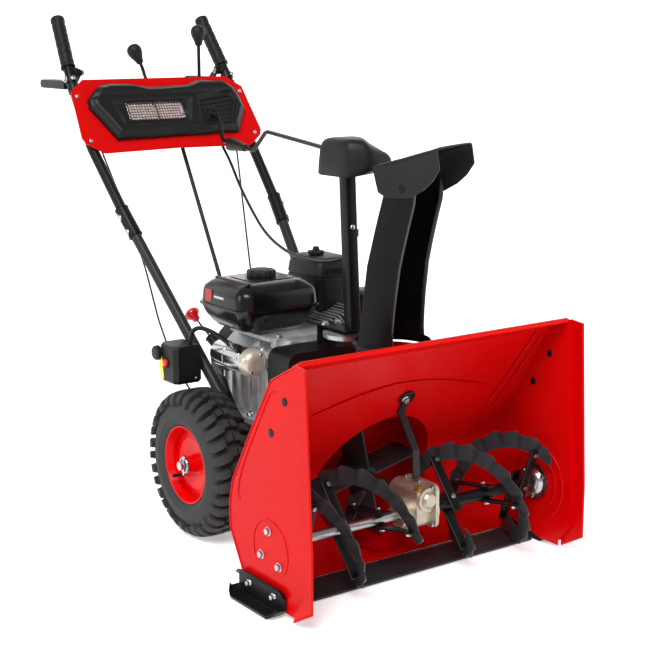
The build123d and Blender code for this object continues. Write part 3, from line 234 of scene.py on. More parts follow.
YELLOW_LABEL = Finish("yellow_vinyl", "#F2D60A", "#E6C808", "housing_plastic", (0.35, 0.45), tone_mm=12,
                      grain_mm=0.8, grain_depth_mm=0.01)
PLAIN_BADGE = Finish("plain_red_badge", "#B3121A", "#8F0E15", "tank_gloss", (0.25, 0.35), tone_mm=10,
                     grain_mm=0.8, grain_depth_mm=0.01)
PALE_BADGE = Finish("plain_silver_badge", "#C9C9CB", "#A9A9AC", "tank_gloss", (0.3, 0.4), metallic=0.4,
                    tone_mm=10, grain_mm=0.8, grain_depth_mm=0.01)
BRASS = Finish("brass_plug", "#C9A24B", "#A27C33", "champagne_cast", (0.25, 0.38), metallic=1.0, tone_mm=6,
               grain_mm=0.8, grain_depth_mm=0.03)
LAMP_GLASS = Finish("clear_lamp_cover", "#F4F7FA", "#EEF2F6", "lamp_clear", (0.03, 0.06), ior=1.49,
                    tone_mm=60, grain_mm=8.0, grain_depth_mm=0.01, clear=1.0)
LAMP_CELL = Finish("lamp_emitter", "#E9CFC8", "#D9B9B0", "lamp_clear", (0.2, 0.3), tone_mm=5, grain_mm=1.0,
                   grain_depth_mm=0.02, glow=0.25)
LAMP_MIRROR = Finish("lamp_reflector", "#8F8A8A", "#6E6868", "lamp_clear", (0.12, 0.25), metallic=1.0,
                     tone_mm=4, grain_mm=1.5, grain_depth_mm=0.05)


class Dressing(Enum):
    """Which finish each CAD node that stays visible is given."""

    HOUSING = (RED_POWDER, ("housing_shell", "side_plate_left", "side_plate_right", "impeller_drum",
                            "dash_panel"))
    RIMS = (RIM_RED, ("rims",))
    TUBES = (BLACK_POWDER, ("handle_lower_tubes", "handle_upper_tubes", "gearbox_strut", "shift_rod",
                            "scraper_bar", "idler_arm"))
    CHASSIS = (DARK_FRAME, ("tractor_frame", "belt_cover"))
    FAN = (AUGER_BLACK, ("impeller_fan",))
    BARS = (TURNED_STEEL, ("impeller_shaft", "hex_shaft", "worm_wheel", "chute_drive_shaft"))
    PLATED = (ZINC, ("axle_with_gear", "auger_bearings"))
    CASTING = (CAST, ("crankcase", "cylinder_head"))
    GEARCASE = (CHAMPAGNE_CAST, ("gearcase",))
    PULLEYS = (IRON, ("impeller_pulley", "crank_pulley", "drive_disc"))
    SOFT = (RUBBER, ("drive_belts", "friction_wheel"))
    CABLES = (CABLE, ("clutch_cables",))
    COVERS = (BLACK_ABS, ("recoil_cover",))


def dress_frame(nodes: dict[str, bpy.types.Object]) -> None:
    """Give every CAD node that stays visible its finish.

    Args:
        nodes: the frame's nodes by name.
    """
    for dressing in Dressing:
        finish, names = dressing.value
        for name in names:
            mesh = nodes[name].data
            mesh.materials.clear()
            mesh.materials.append(finish.material())
            log.info("dressed %s in %s", name, finish.name)


# ---------------------------------------------------------------- mesh making
def place(origin: Point, along: Point, normal: Point) -> Matrix:
    """A placing matrix: first axis along, third axis along the normal, in millimetres.

    Args:
        origin: the point it stands at.
        along: direction of the first axis, roughly square to normal.
        normal: direction of the third axis.

    Returns:
        The four by four matrix.
    """
    out = Vector(normal).normalized()
    first = (Vector(along) - out * Vector(along).dot(out)).normalized()
    matrix = Matrix((first, out.cross(first), out)).transposed().to_4x4()
    matrix.translation = Vector(origin)
    return matrix


def rounded(width: float, depth: float, corner: float, steps: int = 6) -> list[Point]:
    """The outline of a rectangle with round corners, anticlockwise about its middle."""
    points = []
    for quarter in range(4):
        turn = quarter * math.pi / 2
        across = (width, depth) if quarter % 2 == 0 else (depth, width)
        centre = Vector((across[0] / 2 - corner, across[1] / 2 - corner))
        for step in range(steps + 1):
            angle = step / steps * math.pi / 2
            local = centre + Vector((math.cos(angle), math.sin(angle))) * corner
            local.rotate(Matrix.Rotation(turn, 2))
            points.append((local.x, local.y))
    return points


def arc(centre: Point, radius: float, start: float, end: float, steps: int) -> list[Point]:
    """Points round part of a circle, angles in degrees."""
    return [(centre[0] + radius * math.cos(math.radians(start + (end - start) * i / steps)),
             centre[1] + radius * math.sin(math.radians(start + (end - start) * i / steps)))
            for i in range(steps + 1)]


def thicken(path: list[Point], sheet: float) -> list[Point]:
    """Turn an open line into a closed outline of sheet thickness, to the left of its run.

    Args:
        path: the line's points.
        sheet: the thickness, in millimetres.

    Returns:
        The outline's points.
    """
    spots = [Vector(spot) for spot in path]
    other = []
    for i, spot in enumerate(spots):
        ahead = (spots[min(i + 1, len(spots) - 1)] - spots[max(i - 1, 0)]).normalized()
        other.append((spot.x - ahead.y * sheet, spot.y + ahead.x * sheet))
    return [tuple(spot) for spot in spots] + list(reversed(other))


@dataclass
class Shape:
    """A mesh in the making, in millimetres from the axle line."""

    name: str
    body: str
    finish: Finish
    mesh: bmesh.types.BMesh = field(default_factory=bmesh.new)

    def loft(self, rings: list[list[Vector]], capped: bool = True, closed: bool = True) -> None:
        """Skin a run of rings that all have the same number of points.

        Args:
            rings: each ring's points, in order.
            capped: close both ends with a face.
            closed: join each ring's last point to its first.
        """
        rows = [[self.mesh.verts.new(spot) for spot in ring] for ring in rings]
        count = len(rows[0])
        for low, high in zip(rows, rows[1:]):
            for i in range(count if closed else count - 1):
                j = (i + 1) % count
                self.mesh.faces.new((low[i], low[j], high[j], high[i]))
        if capped:
            self.mesh.faces.new(list(reversed(rows[0])))
            self.mesh.faces.new(rows[-1])

    def slab(self, outline: list[Point], where: Matrix, thickness: float, inset: float = 0.0) -> None:
        """A flat plate of an outline, standing from where along its normal.

        Args:
            outline: anticlockwise points in the first two axes of where.
            where: the placing matrix.
            thickness: its height along the normal.
            inset: how far the top is drawn in towards the outline's middle, in millimetres.
        """
        middle = sum((Vector(p).to_2d() for p in outline), Vector((0, 0))) / len(outline)
        top = []
        for spot in outline:
            from_middle = Vector(spot).to_2d() - middle
            top.append(middle + from_middle * max(0.0, 1 - inset / max(from_middle.length, 0.01)))
        self.loft([[where @ Vector((p[0], p[1], 0)) for p in outline],
                   [where @ Vector((p.x, p.y, thickness)) for p in top]])

    def lathe(self, profile: list[Point], where: Matrix, segments: int = 40, lobes: int = 0,
              lobe_depth: float = 0.0, capped: bool = True) -> None:
        """Turn a profile about the third axis of where.

        Args:
            profile: (height, radius) points from one end to the other.
            where: the placing matrix.
            segments: facets round the turn.
            lobes: finger scallops round the edge.
            lobe_depth: how far each scallop swells, in millimetres.
            capped: close both ends with a disc.
        """
        rings = []
        for height, radius in profile:
            ring = []
            for step in range(segments):
                angle = 2 * math.pi * step / segments
                wave = math.cos(lobes * angle) * min(1.0, radius / 12)
                swell = radius + lobe_depth * wave if lobes else radius
                ring.append(where @ Vector((swell * math.cos(angle), swell * math.sin(angle), height)))
            rings.append(ring)
        self.loft(rings, capped)

    def tube(self, path: list[Point], radius: float, sides: int = 16, flat: float = 1.0,
             up: Point = (0.0, 0.0, 1.0)) -> None:
        """A bar along a path of points.

        Args:
            path: the middle line's points.
            radius: half its width.
            sides: facets round it.
            flat: its thickness as a share of its width.
            up: the direction its thickness is measured in.
        """
        spots = [Vector(spot) for spot in path]
        rings = []
        for i, spot in enumerate(spots):
            ahead = (spots[min(i + 1, len(spots) - 1)] - spots[max(i - 1, 0)]).normalized()
            side = ahead.cross(Vector(up))
            side = side.normalized() if side.length > 1e-4 else ahead.orthogonal().normalized()
            rise = side.cross(ahead)
            rings.append([spot + side * radius * math.cos(2 * math.pi * s / sides)
                          + rise * radius * flat * math.sin(2 * math.pi * s / sides) for s in range(sides)])
        self.loft(rings)

    def hex_bolt(self, where: Matrix, across: float = 13.0, height: float = 5.5,
                 washer: float = 9.5) -> None:
        """A hexagon head on a washer, standing on the plane of where."""
        if washer:
            self.lathe([(0, washer), (1.4, washer), (1.8, washer - 0.5)], where, 24)
        corner = across / math.sqrt(3)
        hexagon = [(corner * math.cos(math.pi / 3 * i), corner * math.sin(math.pi / 3 * i))
                   for i in range(6)]
        base, chamfer = 1.7, 1.1
        rings = [(base, 1.0), (base + height - chamfer, 1.0), (base + height, 0.86)]
        self.loft([[where @ Vector((x * k, y * k, h)) for x, y in hexagon] for h, k in rings])

    def round_bolt(self, where: Matrix, radius: float = 9.0, height: float = 4.5) -> None:
        """A domed carriage-bolt head."""
        steps = 6
        dome = [(height * math.sin(math.pi / 2 * i / steps), radius * math.cos(math.pi / 2 * i / steps)
                 + 0.3) for i in range(steps + 1)]
        self.lathe([(0, radius + 0.3), *dome[1:]], where, 24)

    def piece(self, replaces: tuple[str, ...] = (), bevel: float = 0.0, smooth: float = 40.0,
              rounds: int = 0) -> bpy.types.Object:
        """Finish the mesh as an object that rides on its body.

        Args:
            replaces: the CAD nodes that it stands for.
            bevel: width of the rounded edges, in millimetres.
            smooth: edges flatter than this many degrees are shaded smooth.
            rounds: levels of subdivision.

        Returns:
            The object.
        """
        bmesh.ops.recalc_face_normals(self.mesh, faces=self.mesh.faces)
        for spot in self.mesh.verts:
            spot.co = Vector((spot.co.x, spot.co.y + AXLE_Y, spot.co.z)) * MM
        for edge in self.mesh.edges:
            edge.smooth = len(edge.link_faces) == 2 and edge.calc_face_angle(0) < math.radians(smooth)
        for face in self.mesh.faces:
            face.smooth = True
        data = bpy.data.meshes.new(self.name)
        self.mesh.to_mesh(data)
        self.mesh.free()
        data.materials.append(self.finish.material())
        made = bpy.data.objects.new(self.name, data)
        bpy.context.scene.collection.objects.link(made)
        if bevel:
            rounding = made.modifiers.new("rounded_edges", "BEVEL")
            rounding.width, rounding.segments, rounding.limit_method = bevel * MM, 3, "ANGLE"
            rounding.angle_limit = math.radians(25)
            rounding.harden_normals = True
            rounding.use_clamp_overlap = True
        if rounds:
            surface = made.modifiers.new("soft_surface", "SUBSURF")
            surface.levels = surface.render_levels = rounds
        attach(made, self.body)
        if replaces:
            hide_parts(*replaces)
        log.info("made %s on %s", self.name, self.body)
        return made


UPRIGHT = ((1.0, 0.0, 0.0), (0.0, 0.0, 1.0))       # along and normal of a plane seen from above
DASH_LEAN = math.radians(34.6)
DASH_UP = (0.0, math.sin(DASH_LEAN), math.cos(DASH_LEAN))
DASH_OUT = (0.0, -math.cos(DASH_LEAN), math.sin(DASH_LEAN))
DASH = place((0, 520, 893), (1, 0, 0), DASH_OUT)


CRANK_FRONT = Vector((-9, -200, 853.7))            # where the crank's rod leaves the gear hood
CRANK_BACK = DASH @ Vector((122, -4, -6))          # where its far end turns in the dash
CRANK_ALONG = (CRANK_BACK - CRANK_FRONT).normalized()
CRANK_DOWN = (Vector((0, 0, -1)) + CRANK_ALONG * CRANK_ALONG.z).normalized()
CRANK_ARM = 54.0                                   # how far the grip hangs below the rod's line


# ---------------------------------------------------------------- wheels
@dataclass
class Wheels:
    """Snow tyres with a deep block tread, and the hub hardware in front of the dished rims."""

    mid_x: float = 228.0
    axle_z: float = 165.0
    crown: float = 164.6
    pitches: int = 16
    lug_depth: float = 15.0

    def carcass(self, side: int) -> None:
        """The tyre's body under its tread."""
        shape = Shape(f"tyre_{'left' if side > 0 else 'right'}", "wheels", TREAD)
        where = place((side * self.mid_x, 0, self.axle_z), (0, 1, 0), (1, 0, 0))
        wall = [(-37, 85.5), (-43, 88), (-47, 92), (-49.4, 98), (-50.6, 104), (-51.6, 106), (-50.8, 109),
                (-50.2, 118), (-47.5, 128), (-42.5, 137), (-35, 144), (-24, 148.5), (0, 150.5)]
        profile = wall + [(-x, r) for x, r in reversed(wall[:-1])] + [(30, 84.2), (-30, 84.2), (-37, 85.5)]
        shape.lathe(profile, where, 96, capped=False)
        for flip in (-1, 1):
            self.lugs(shape, side, flip)
        shape.piece(replaces=("tyres",), smooth=35)

    def lugs(self, shape: Shape, side: int, flip: int) -> None:
        """Staggered lugs of one half of the tread: jogged long ones, short shoulder ones and centre blocks.

        Each station is distance from the crown's middle, lead round the wheel in pitches, radius,
        half width and how far the lug has turned down the shoulder, in degrees.
        """
        long_lug = ((1.5, 0.0, 164.6, 8.5, 0), (13, 0.02, 164.6, 9.5, 0), (19, 0.15, 164.4, 10, 0),
                    (33, 0.2, 162.6, 10.5, 12), (44, 0.24, 157.0, 10.5, 35), (50.5, 0.26, 147.5, 9.5, 65),
                    (52, 0.26, 134, 6.5, 85))
        short_lug = ((24, 0.68, 164.0, 6.5, 4), (34, 0.73, 162.4, 9.0, 12), (44, 0.76, 156.6, 9.0, 35),
                     (50.3, 0.78, 148, 8.2, 65), (51.6, 0.78, 140, 5.5, 85))
        centre_block = ((3.0, 0.5, 164.6, 7.0, 0), (10, 0.52, 164.6, 8.5, 0), (16.5, 0.58, 164.4, 6.5, 0))
        pitch = 2 * math.pi / self.pitches
        for index in range(self.pitches):
            for run in (long_lug, short_lug, centre_block):
                rings = []
                for across, lead, radius, half, down in run:
                    angle = (index + lead + (0.5 if flip > 0 else 0.0)) * pitch * side
                    slope = math.radians(down)
                    foot_across = across - self.lug_depth * math.sin(slope)
                    foot_radius = radius - self.lug_depth * math.cos(slope)
                    ring = []
                    for turn, out, high in ((-1.3, foot_across, foot_radius), (-0.95, across, radius),
                                            (0.95, across, radius), (1.3, foot_across, foot_radius)):
                        swing = angle + turn * half / self.crown
                        ring.append(Vector((side * self.mid_x + flip * out, high * math.sin(swing),
                                            self.axle_z + high * math.cos(swing))))
                    rings.append(ring)
                shape.loft(rings)

    def hub(self, side: int) -> None:
        """Ring pin, cross pin, washer and nut on the wheel's axle, and the valve stem."""
        name = "left" if side > 0 else "right"
        pins = Shape(f"hub_pin_{name}", "wheels", ZINC)
        end = side * (self.mid_x + 46)
        loop = [(end, 16 * math.cos(a), self.axle_z + 16 * math.sin(a)) for a in
                (math.radians(18 * i) for i in range(21))]
        pins.tube(loop, 1.9, 10, up=(1, 0, 0))
        pins.tube([(end, -4, self.axle_z + 22), (end, 0, self.axle_z + 12), (end, 2, self.axle_z - 12),
                   (end, 0, self.axle_z - 23)], 3.2, 12, up=(1, 0, 0))
        pins.lathe([(-4, 12), (2, 12), (3.5, 10.5), (3.6, 7.5), (9, 7.2), (10, 6)],
                   place((side * (self.mid_x + 41), 0, self.axle_z), (0, 1, 0), (side, 0, 0)), 24)
        pins.piece()
        valve = Shape(f"valve_{name}", "wheels", RUBBER)
        foot = (side * (self.mid_x + 22), 42, self.axle_z - 38)
        valve.lathe([(-4, 6), (4, 5), (6, 3.4), (18, 3.2), (19, 4), (27, 4), (28, 3)],
                    place(foot, (0, 1, 0), (side, 0.15, 0.1)), 16)
        valve.piece()

    def build(self) -> None:
        """Make both wheels."""
        for side in SIDES.values():
            self.carcass(side)
            self.hub(side)


# ---------------------------------------------------------------- auger housing
@dataclass
class Housing:
    """Pressed seams, beads and bolts on the red auger housing."""

    half_width: float = 340.0
    bearing_bolts: tuple[Point, ...] = ((-440, 158), (-415, 104), (-476, 96))
    skid_bolts: tuple[Point, ...] = ((-462, 32), (-375, 32))
    drain_holes: tuple[Point, ...] = ((-500, 428), (-453, 358))
    boss: Point = (-468.0, 138.0)
    wall_line: tuple[Point, Point] = ((-496.0, 481.0), (-334.6, 220.6))
    wall_normal: Point = (0.0, -0.85, -0.527)

    def hem(self) -> None:
        """The folded top lip and the front hems of the side plates."""
        shape = Shape("housing_hem", "machine", RED_POWDER)
        lip = [(-552.5, 505), (-551.5, 511.5), (-547, 513.5), (-520, 499.6), (-519.2, 497.4), (-545, 510)]
        ends = (-self.half_width + 3, self.half_width - 3)
        shape.loft([[Vector((x, y, z)) for y, z in lip] for x in ends])
        for side in SIDES.values():
            edge = side * (self.half_width + 10)
            shape.tube([(edge, -581, 506), (edge, -600, 159), (edge, -600, 44), (edge, -541, 10)], 2.6, 10,
                       up=(1, 0, 0))
            shape.tube([(side * self.half_width, y, z) for y, z in
                        ((-549, 509), (-455, 460), (-383, 347), (-313, 229), (-300, 179), (-302, 125),
                         (-351, 41))], 2.2, 10, up=(1, 0, 0))
        shape.piece(smooth=60)

    def beads(self) -> None:
        """Raised ridges pressed into the side plates and the back wall."""
        shape = Shape("pressed_beads", "machine", RED_POWDER)
        for side in SIDES.values():
            face = side * (self.half_width + 0.2)
            shape.tube([(face, y, z) for y, z in ((-468, 441), (-452, 436), (-440, 418), (-398, 348),
                                                  (-356, 278), (-339, 240), (-330, 205), (-340, 196))], 1.9,
                       10, up=(1, 0, 0))
            shape.tube([(face, y, z) for y, z in ((-536, 486), (-549, 420), (-560, 300), (-560, 170),
                                                  (-556, 150))], 1.9, 10, up=(1, 0, 0))
            shape.tube([(face, y, z) for y, z in arc((-447, 122), 60, -25, 215, 20)], 1.5, 10, up=(1, 0, 0))
            inner = side * (self.half_width - 3.2)
            for radius, low, high in ((62, -40, 150), (84, -50, 60)):
                ring = arc((self.boss[0], self.boss[1]), radius, 180 - high, 180 - low, 20)
                shape.tube([(inner, y, z) for y, z in ring], 2.2, 10, up=(1, 0, 0))
        crease = [(-227, 365), (-180, 380), (-129, 394), (-85, 402), (-40, 407), (12, 405), (64, 399),
                  (120, 388), (182, 374), (226, 362)]
        shape.tube([(x, *self.on_wall(z)) for x, z in crease], 2.0, 10, up=self.wall_normal)
        for x, z, x_low, z_low in ((300, 478, 262, 300), (322, 470, 288, 292)):
            for side in SIDES.values():
                run = [(side * (x_low + (x - x_low) * k / 5), *self.on_wall(z_low + (z - z_low) * k / 5))
                       for k in range(6)]
                shape.tube(run, 2.2, 10, up=self.wall_normal)
        shape.piece(smooth=60)

    def on_wall(self, z: float) -> Point:
        """The y and z of a point on the front of the sloping back wall."""
        (top_y, top_z), (low_y, low_z) = self.wall_line
        share = (z - low_z) / (top_z - low_z)
        return low_y + (top_y - low_y) * share - 2.6, z

    def plugs(self) -> None:
        """Rubber plugs in the drain holes of the side plates."""
        shape = Shape("drain_plugs", "machine", RUBBER)
        for side in SIDES.values():
            for y, z in self.drain_holes:
                for way in (1, -1):
                    face = side * (self.half_width + (0.3 if way > 0 else -2.8))
                    shape.lathe([(-1.5, 6.4), (0, 8.2), (1.4, 7.8), (2.2, 5.5), (2.4, 2)],
                                place((face, y, z), (0, 1, 0), (side * way, 0, 0)), 24)
        shape.piece()

    def skids(self) -> None:
        """Bent-plate skid shoes: a web, a runner with turned-up ends and a stiffening flange."""
        for name, side in SIDES.items():
            shape = Shape(f"skid_{name}", "machine", BLACK_POWDER)
            rings = []
            for y, low, high, reach in ((-502, 17, 44, 24), (-494, 7, 50, 31), (-482, 0.4, 53, 36),
                                        (-356, 0.4, 53, 36), (-344, 7, 50, 31), (-336, 17, 44, 24)):
                section = [(0.8, low), (reach, low), (reach + 2.6, low + 7), (reach + 0.4, low + 8),
                           (reach - 3.4, low + 3.4), (4.2, low + 3.4), (4.2, high - 5), (12, high + 1),
                           (11, high + 3.6), (0.8, high - 2)]
                rings.append([Vector((side * (self.half_width + dx), y, z)) for dx, z in section])
            shape.loft(rings)
            shape.piece(replaces=("skid_shoes",), smooth=35, bevel=0.8)

    def strut_anchor(self) -> None:
        """The round plate and bolt that hold the gearcase strut to the back wall."""
        where = place((8, *self.on_wall(366)), (1, 0, 0), self.wall_normal)
        plate = Shape("strut_anchor", "machine", BLACK_POWDER)
        plate.lathe([(-0.5, 19), (2.4, 19), (3.2, 17.5)], where, 36)
        plate.piece()
        bolt = Shape("strut_bolt", "machine", ZINC)
        bolt.hex_bolt(where @ Matrix.Translation((-6, 0, 3.0)), 12, 6, 9)
        bolt.piece()

    def bolts(self) -> None:
        """Bearing bolts, carriage bolts of the skid shoes and the sleeve bolts of the handle."""
        shape = Shape("housing_bolts", "machine", ZINC)
        for side in SIDES.values():
            for y, z in self.bearing_bolts:
                shape.hex_bolt(place((side * (self.half_width + 0.2), y, z), (0, 1, 0.3), (side, 0, 0)), 13,
                               5)
            for y, z in self.skid_bolts:
                shape.round_bolt(place((side * (self.half_width + 3.8), y, z), (0, 1, 0), (side, 0, 0)),
                                 8.5, 5)
                shape.hex_bolt(place((side * (self.half_width + 6.5), y, z), (0, 1, 0), (side, 0, 0)), 10,
                               4, 0)
            foot, top = Vector((side * 159.5, 20, 296)), Vector((side * 213, 362, 676))
            up_tube = (top - foot).normalized()
            for lift in (-50, -8):
                spot = top + up_tube * lift + Vector((side * 16.0, 0, 0))
                shape.round_bolt(place(tuple(spot), tuple(up_tube), (side, 0, 0)), 7.5, 4.5)
        shape.piece(replaces=("fasteners",))

    def build(self) -> None:
        """Make the housing's trim."""
        self.hem()
        self.beads()
        self.bolts()
        self.plugs()
        self.skids()
        self.strut_anchor()


# ---------------------------------------------------------------- auger
@dataclass
class Auger:
    """Serrated ribbon flights on flat cross bars, the two shafts and the gearcase's hardware."""

    y: float = -468.0
    z: float = 138.0
    start_x: float = 66.0
    end_x: float = 312.0
    start_deg: float = 20.0
    turn_deg: float = 300.0
    inner: float = 85.0
    tip: float = 124.0
    teeth: int = 14
    tooth_depth: float = 9.0
    steps_per_tooth: int = 8
    stations: tuple[float, ...] = (0.1, 0.5, 0.9)

    def spot(self, x: float, radius: float, angle: float) -> Vector:
        """A point round the shaft at a distance along it."""
        return Vector((x, self.y + radius * math.cos(angle), self.z + radius * math.sin(angle)))

    def station(self, side: int, share: float) -> tuple[float, float]:
        """The x and the angle that the first ribbon has reached at a share of its length."""
        x = side * (self.start_x + share * (self.end_x - self.start_x))
        return x, math.radians(self.start_deg + side * share * self.turn_deg)

    def flights(self) -> None:
        """Four notched ribbons of 3.2 mm strip."""
        shape = Shape("auger_ribbons", "auger", AUGER_BLACK)
        total = self.teeth * self.steps_per_tooth
        for side in SIDES.values():
            for half_turn in (0.0, math.pi):
                rings = []
                for step in range(total + 1):
                    share = step / total
                    x, angle = self.station(side, share)
                    angle += half_turn
                    bite = (step % self.steps_per_tooth) / self.steps_per_tooth
                    outer = self.tip - self.tooth_depth * (1 - bite / 0.8 if bite < 0.8
                                                           else (bite - 0.8) / 0.2)
                    taper = min(1.0, 0.3 + min(share, 1 - share) * 14)
                    outer = self.inner + (outer - self.inner) * taper
                    rings.append([self.spot(x - 1.6, self.inner, angle), self.spot(x - 1.6, outer, angle),
                                  self.spot(x + 1.6, outer, angle), self.spot(x + 1.6, self.inner, angle)])
                shape.loft(rings)
        shape.piece(replaces=("auger_flights",), smooth=30)

    def bars(self) -> None:
        """Flat bars from ribbon to ribbon, bolted beside the shaft."""
        shape = Shape("auger_cross_bars", "auger", AUGER_BLACK)
        bolts = Shape("auger_bar_bolts", "auger", ZINC)
        reach = self.inner + 14
        for side in SIDES.values():
            for share in self.stations:
                x, angle = self.station(side, share)
                out = self.spot(0, 1, angle) - self.spot(0, 0, angle)
                round_way = Vector((0, -out.z, out.y))
                for end in (1, -1):
                    root = self.spot(x, 0, angle) + round_way * end * 15.2
                    shape.slab(rounded(23, 5, 1.6, 3), place(tuple(root - out * 26 * end), (1, 0, 0),
                                                             tuple(out * end)), reach + 26)
                    for far in (self.inner + 4, 4):
                        face = root + out * end * far + round_way * end * 2.6
                        bolts.hex_bolt(place(tuple(face), (1, 0, 0), tuple(round_way * end)), 10, 4.5, 0)
        shape.piece(smooth=30, bevel=0.5)
        bolts.piece()

    def shafts(self) -> None:
        """The bare bar of the right half and the enamelled tube of the left half."""
        for side, finish, radius in ((-1, TURNED_STEEL, 10.4), (1, AUGER_BLACK, 12.8)):
            shape = Shape(f"auger_tube_{'left' if side > 0 else 'right'}", "auger", finish)
            where = place((0, self.y, self.z), (0, 1, 0), (side, 0, 0))
            shape.lathe([(30, 9.6), (48, 9.6), (51, radius - 1), (54, radius), (313, radius),
                         (316, radius - 1), (318, 9.6), (334.5, 9.6), (335, 8.5)], where, 36)
            shape.piece(replaces=("auger_shaft",), smooth=40)

    def gearcase_hardware(self) -> None:
        """Flange bolts round the split of the case, its hub rings and a brass filler plug."""
        bolts = Shape("gearcase_bolts", "machine", ZINC)
        for dy, dz in ((-45, -39), (0, -42), (45, -39), (-46, 4), (46, 4), (-45, 41), (0, 41), (45, 41)):
            bolts.hex_bolt(place((11.8, self.y + dy * 0.97, 157 + dz * 0.97), (0, 1, 0), (-1, 0, 0)), 9, 4,
                           0)
        bolts.piece()
        rings = Shape("gearcase_rings", "machine", CHAMPAGNE_CAST)
        rings.lathe([(-44, 13), (-44, 24), (-41, 27), (-39, 33.5), (-37, 33.5), (-36, 31)],
                    place((0, self.y, self.z), (0, 1, 0), (1, 0, 0)), 36)
        for spoke in range(6):
            angle = math.pi / 3 * spoke
            outer = [(-33 * math.cos(angle) - 2, -33 * math.sin(angle) - 2), (-33 * math.cos(angle) + 2,
                     -33 * math.sin(angle) - 2), (2, 2), (-2, 2)]
            rings.slab(outer, place((-41, self.y, self.z), (0, 1, 0), (-1, 0, 0)), 3)
        rings.lathe([(0, 17), (3, 17), (6, 14.5), (8, 13)],
                    place((0, -511.5, 172), (1, 0, 0), (0, -1, 0)), 32)
        rings.piece(smooth=30, bevel=0.6)
        plug = Shape("gearcase_plug", "machine", BRASS)
        plug.hex_bolt(place((-14, -492, 190.5), (1, 0, 0), (0, 0, 1)), 12, 6, 8)
        plug.piece()

    def bearings(self) -> None:
        """Domed cups of the end bearings, inside the side plates."""
        shape = Shape("bearing_cups", "machine", ZINC)
        for side in SIDES.values():
            shape.lathe([(0, 40), (2, 40), (4, 30), (9, 27), (15, 21), (16.5, 11), (15, 10.6)],
                        place((side * 334.4, self.y, self.z), (0, 1, 0), (-side, 0, 0)), 36)
            for turn in (30, 150, 270):
                angle = math.radians(turn)
                shape.hex_bolt(place((side * 332, self.y + 33 * math.cos(angle),
                                      self.z + 33 * math.sin(angle)), (0, 1, 0), (-side, 0, 0)), 9, 4, 0)
        shape.piece(smooth=40)

    def build(self) -> None:
        """Make the auger."""
        self.flights()
        self.bars()
        self.shafts()
        self.gearcase_hardware()
        self.bearings()


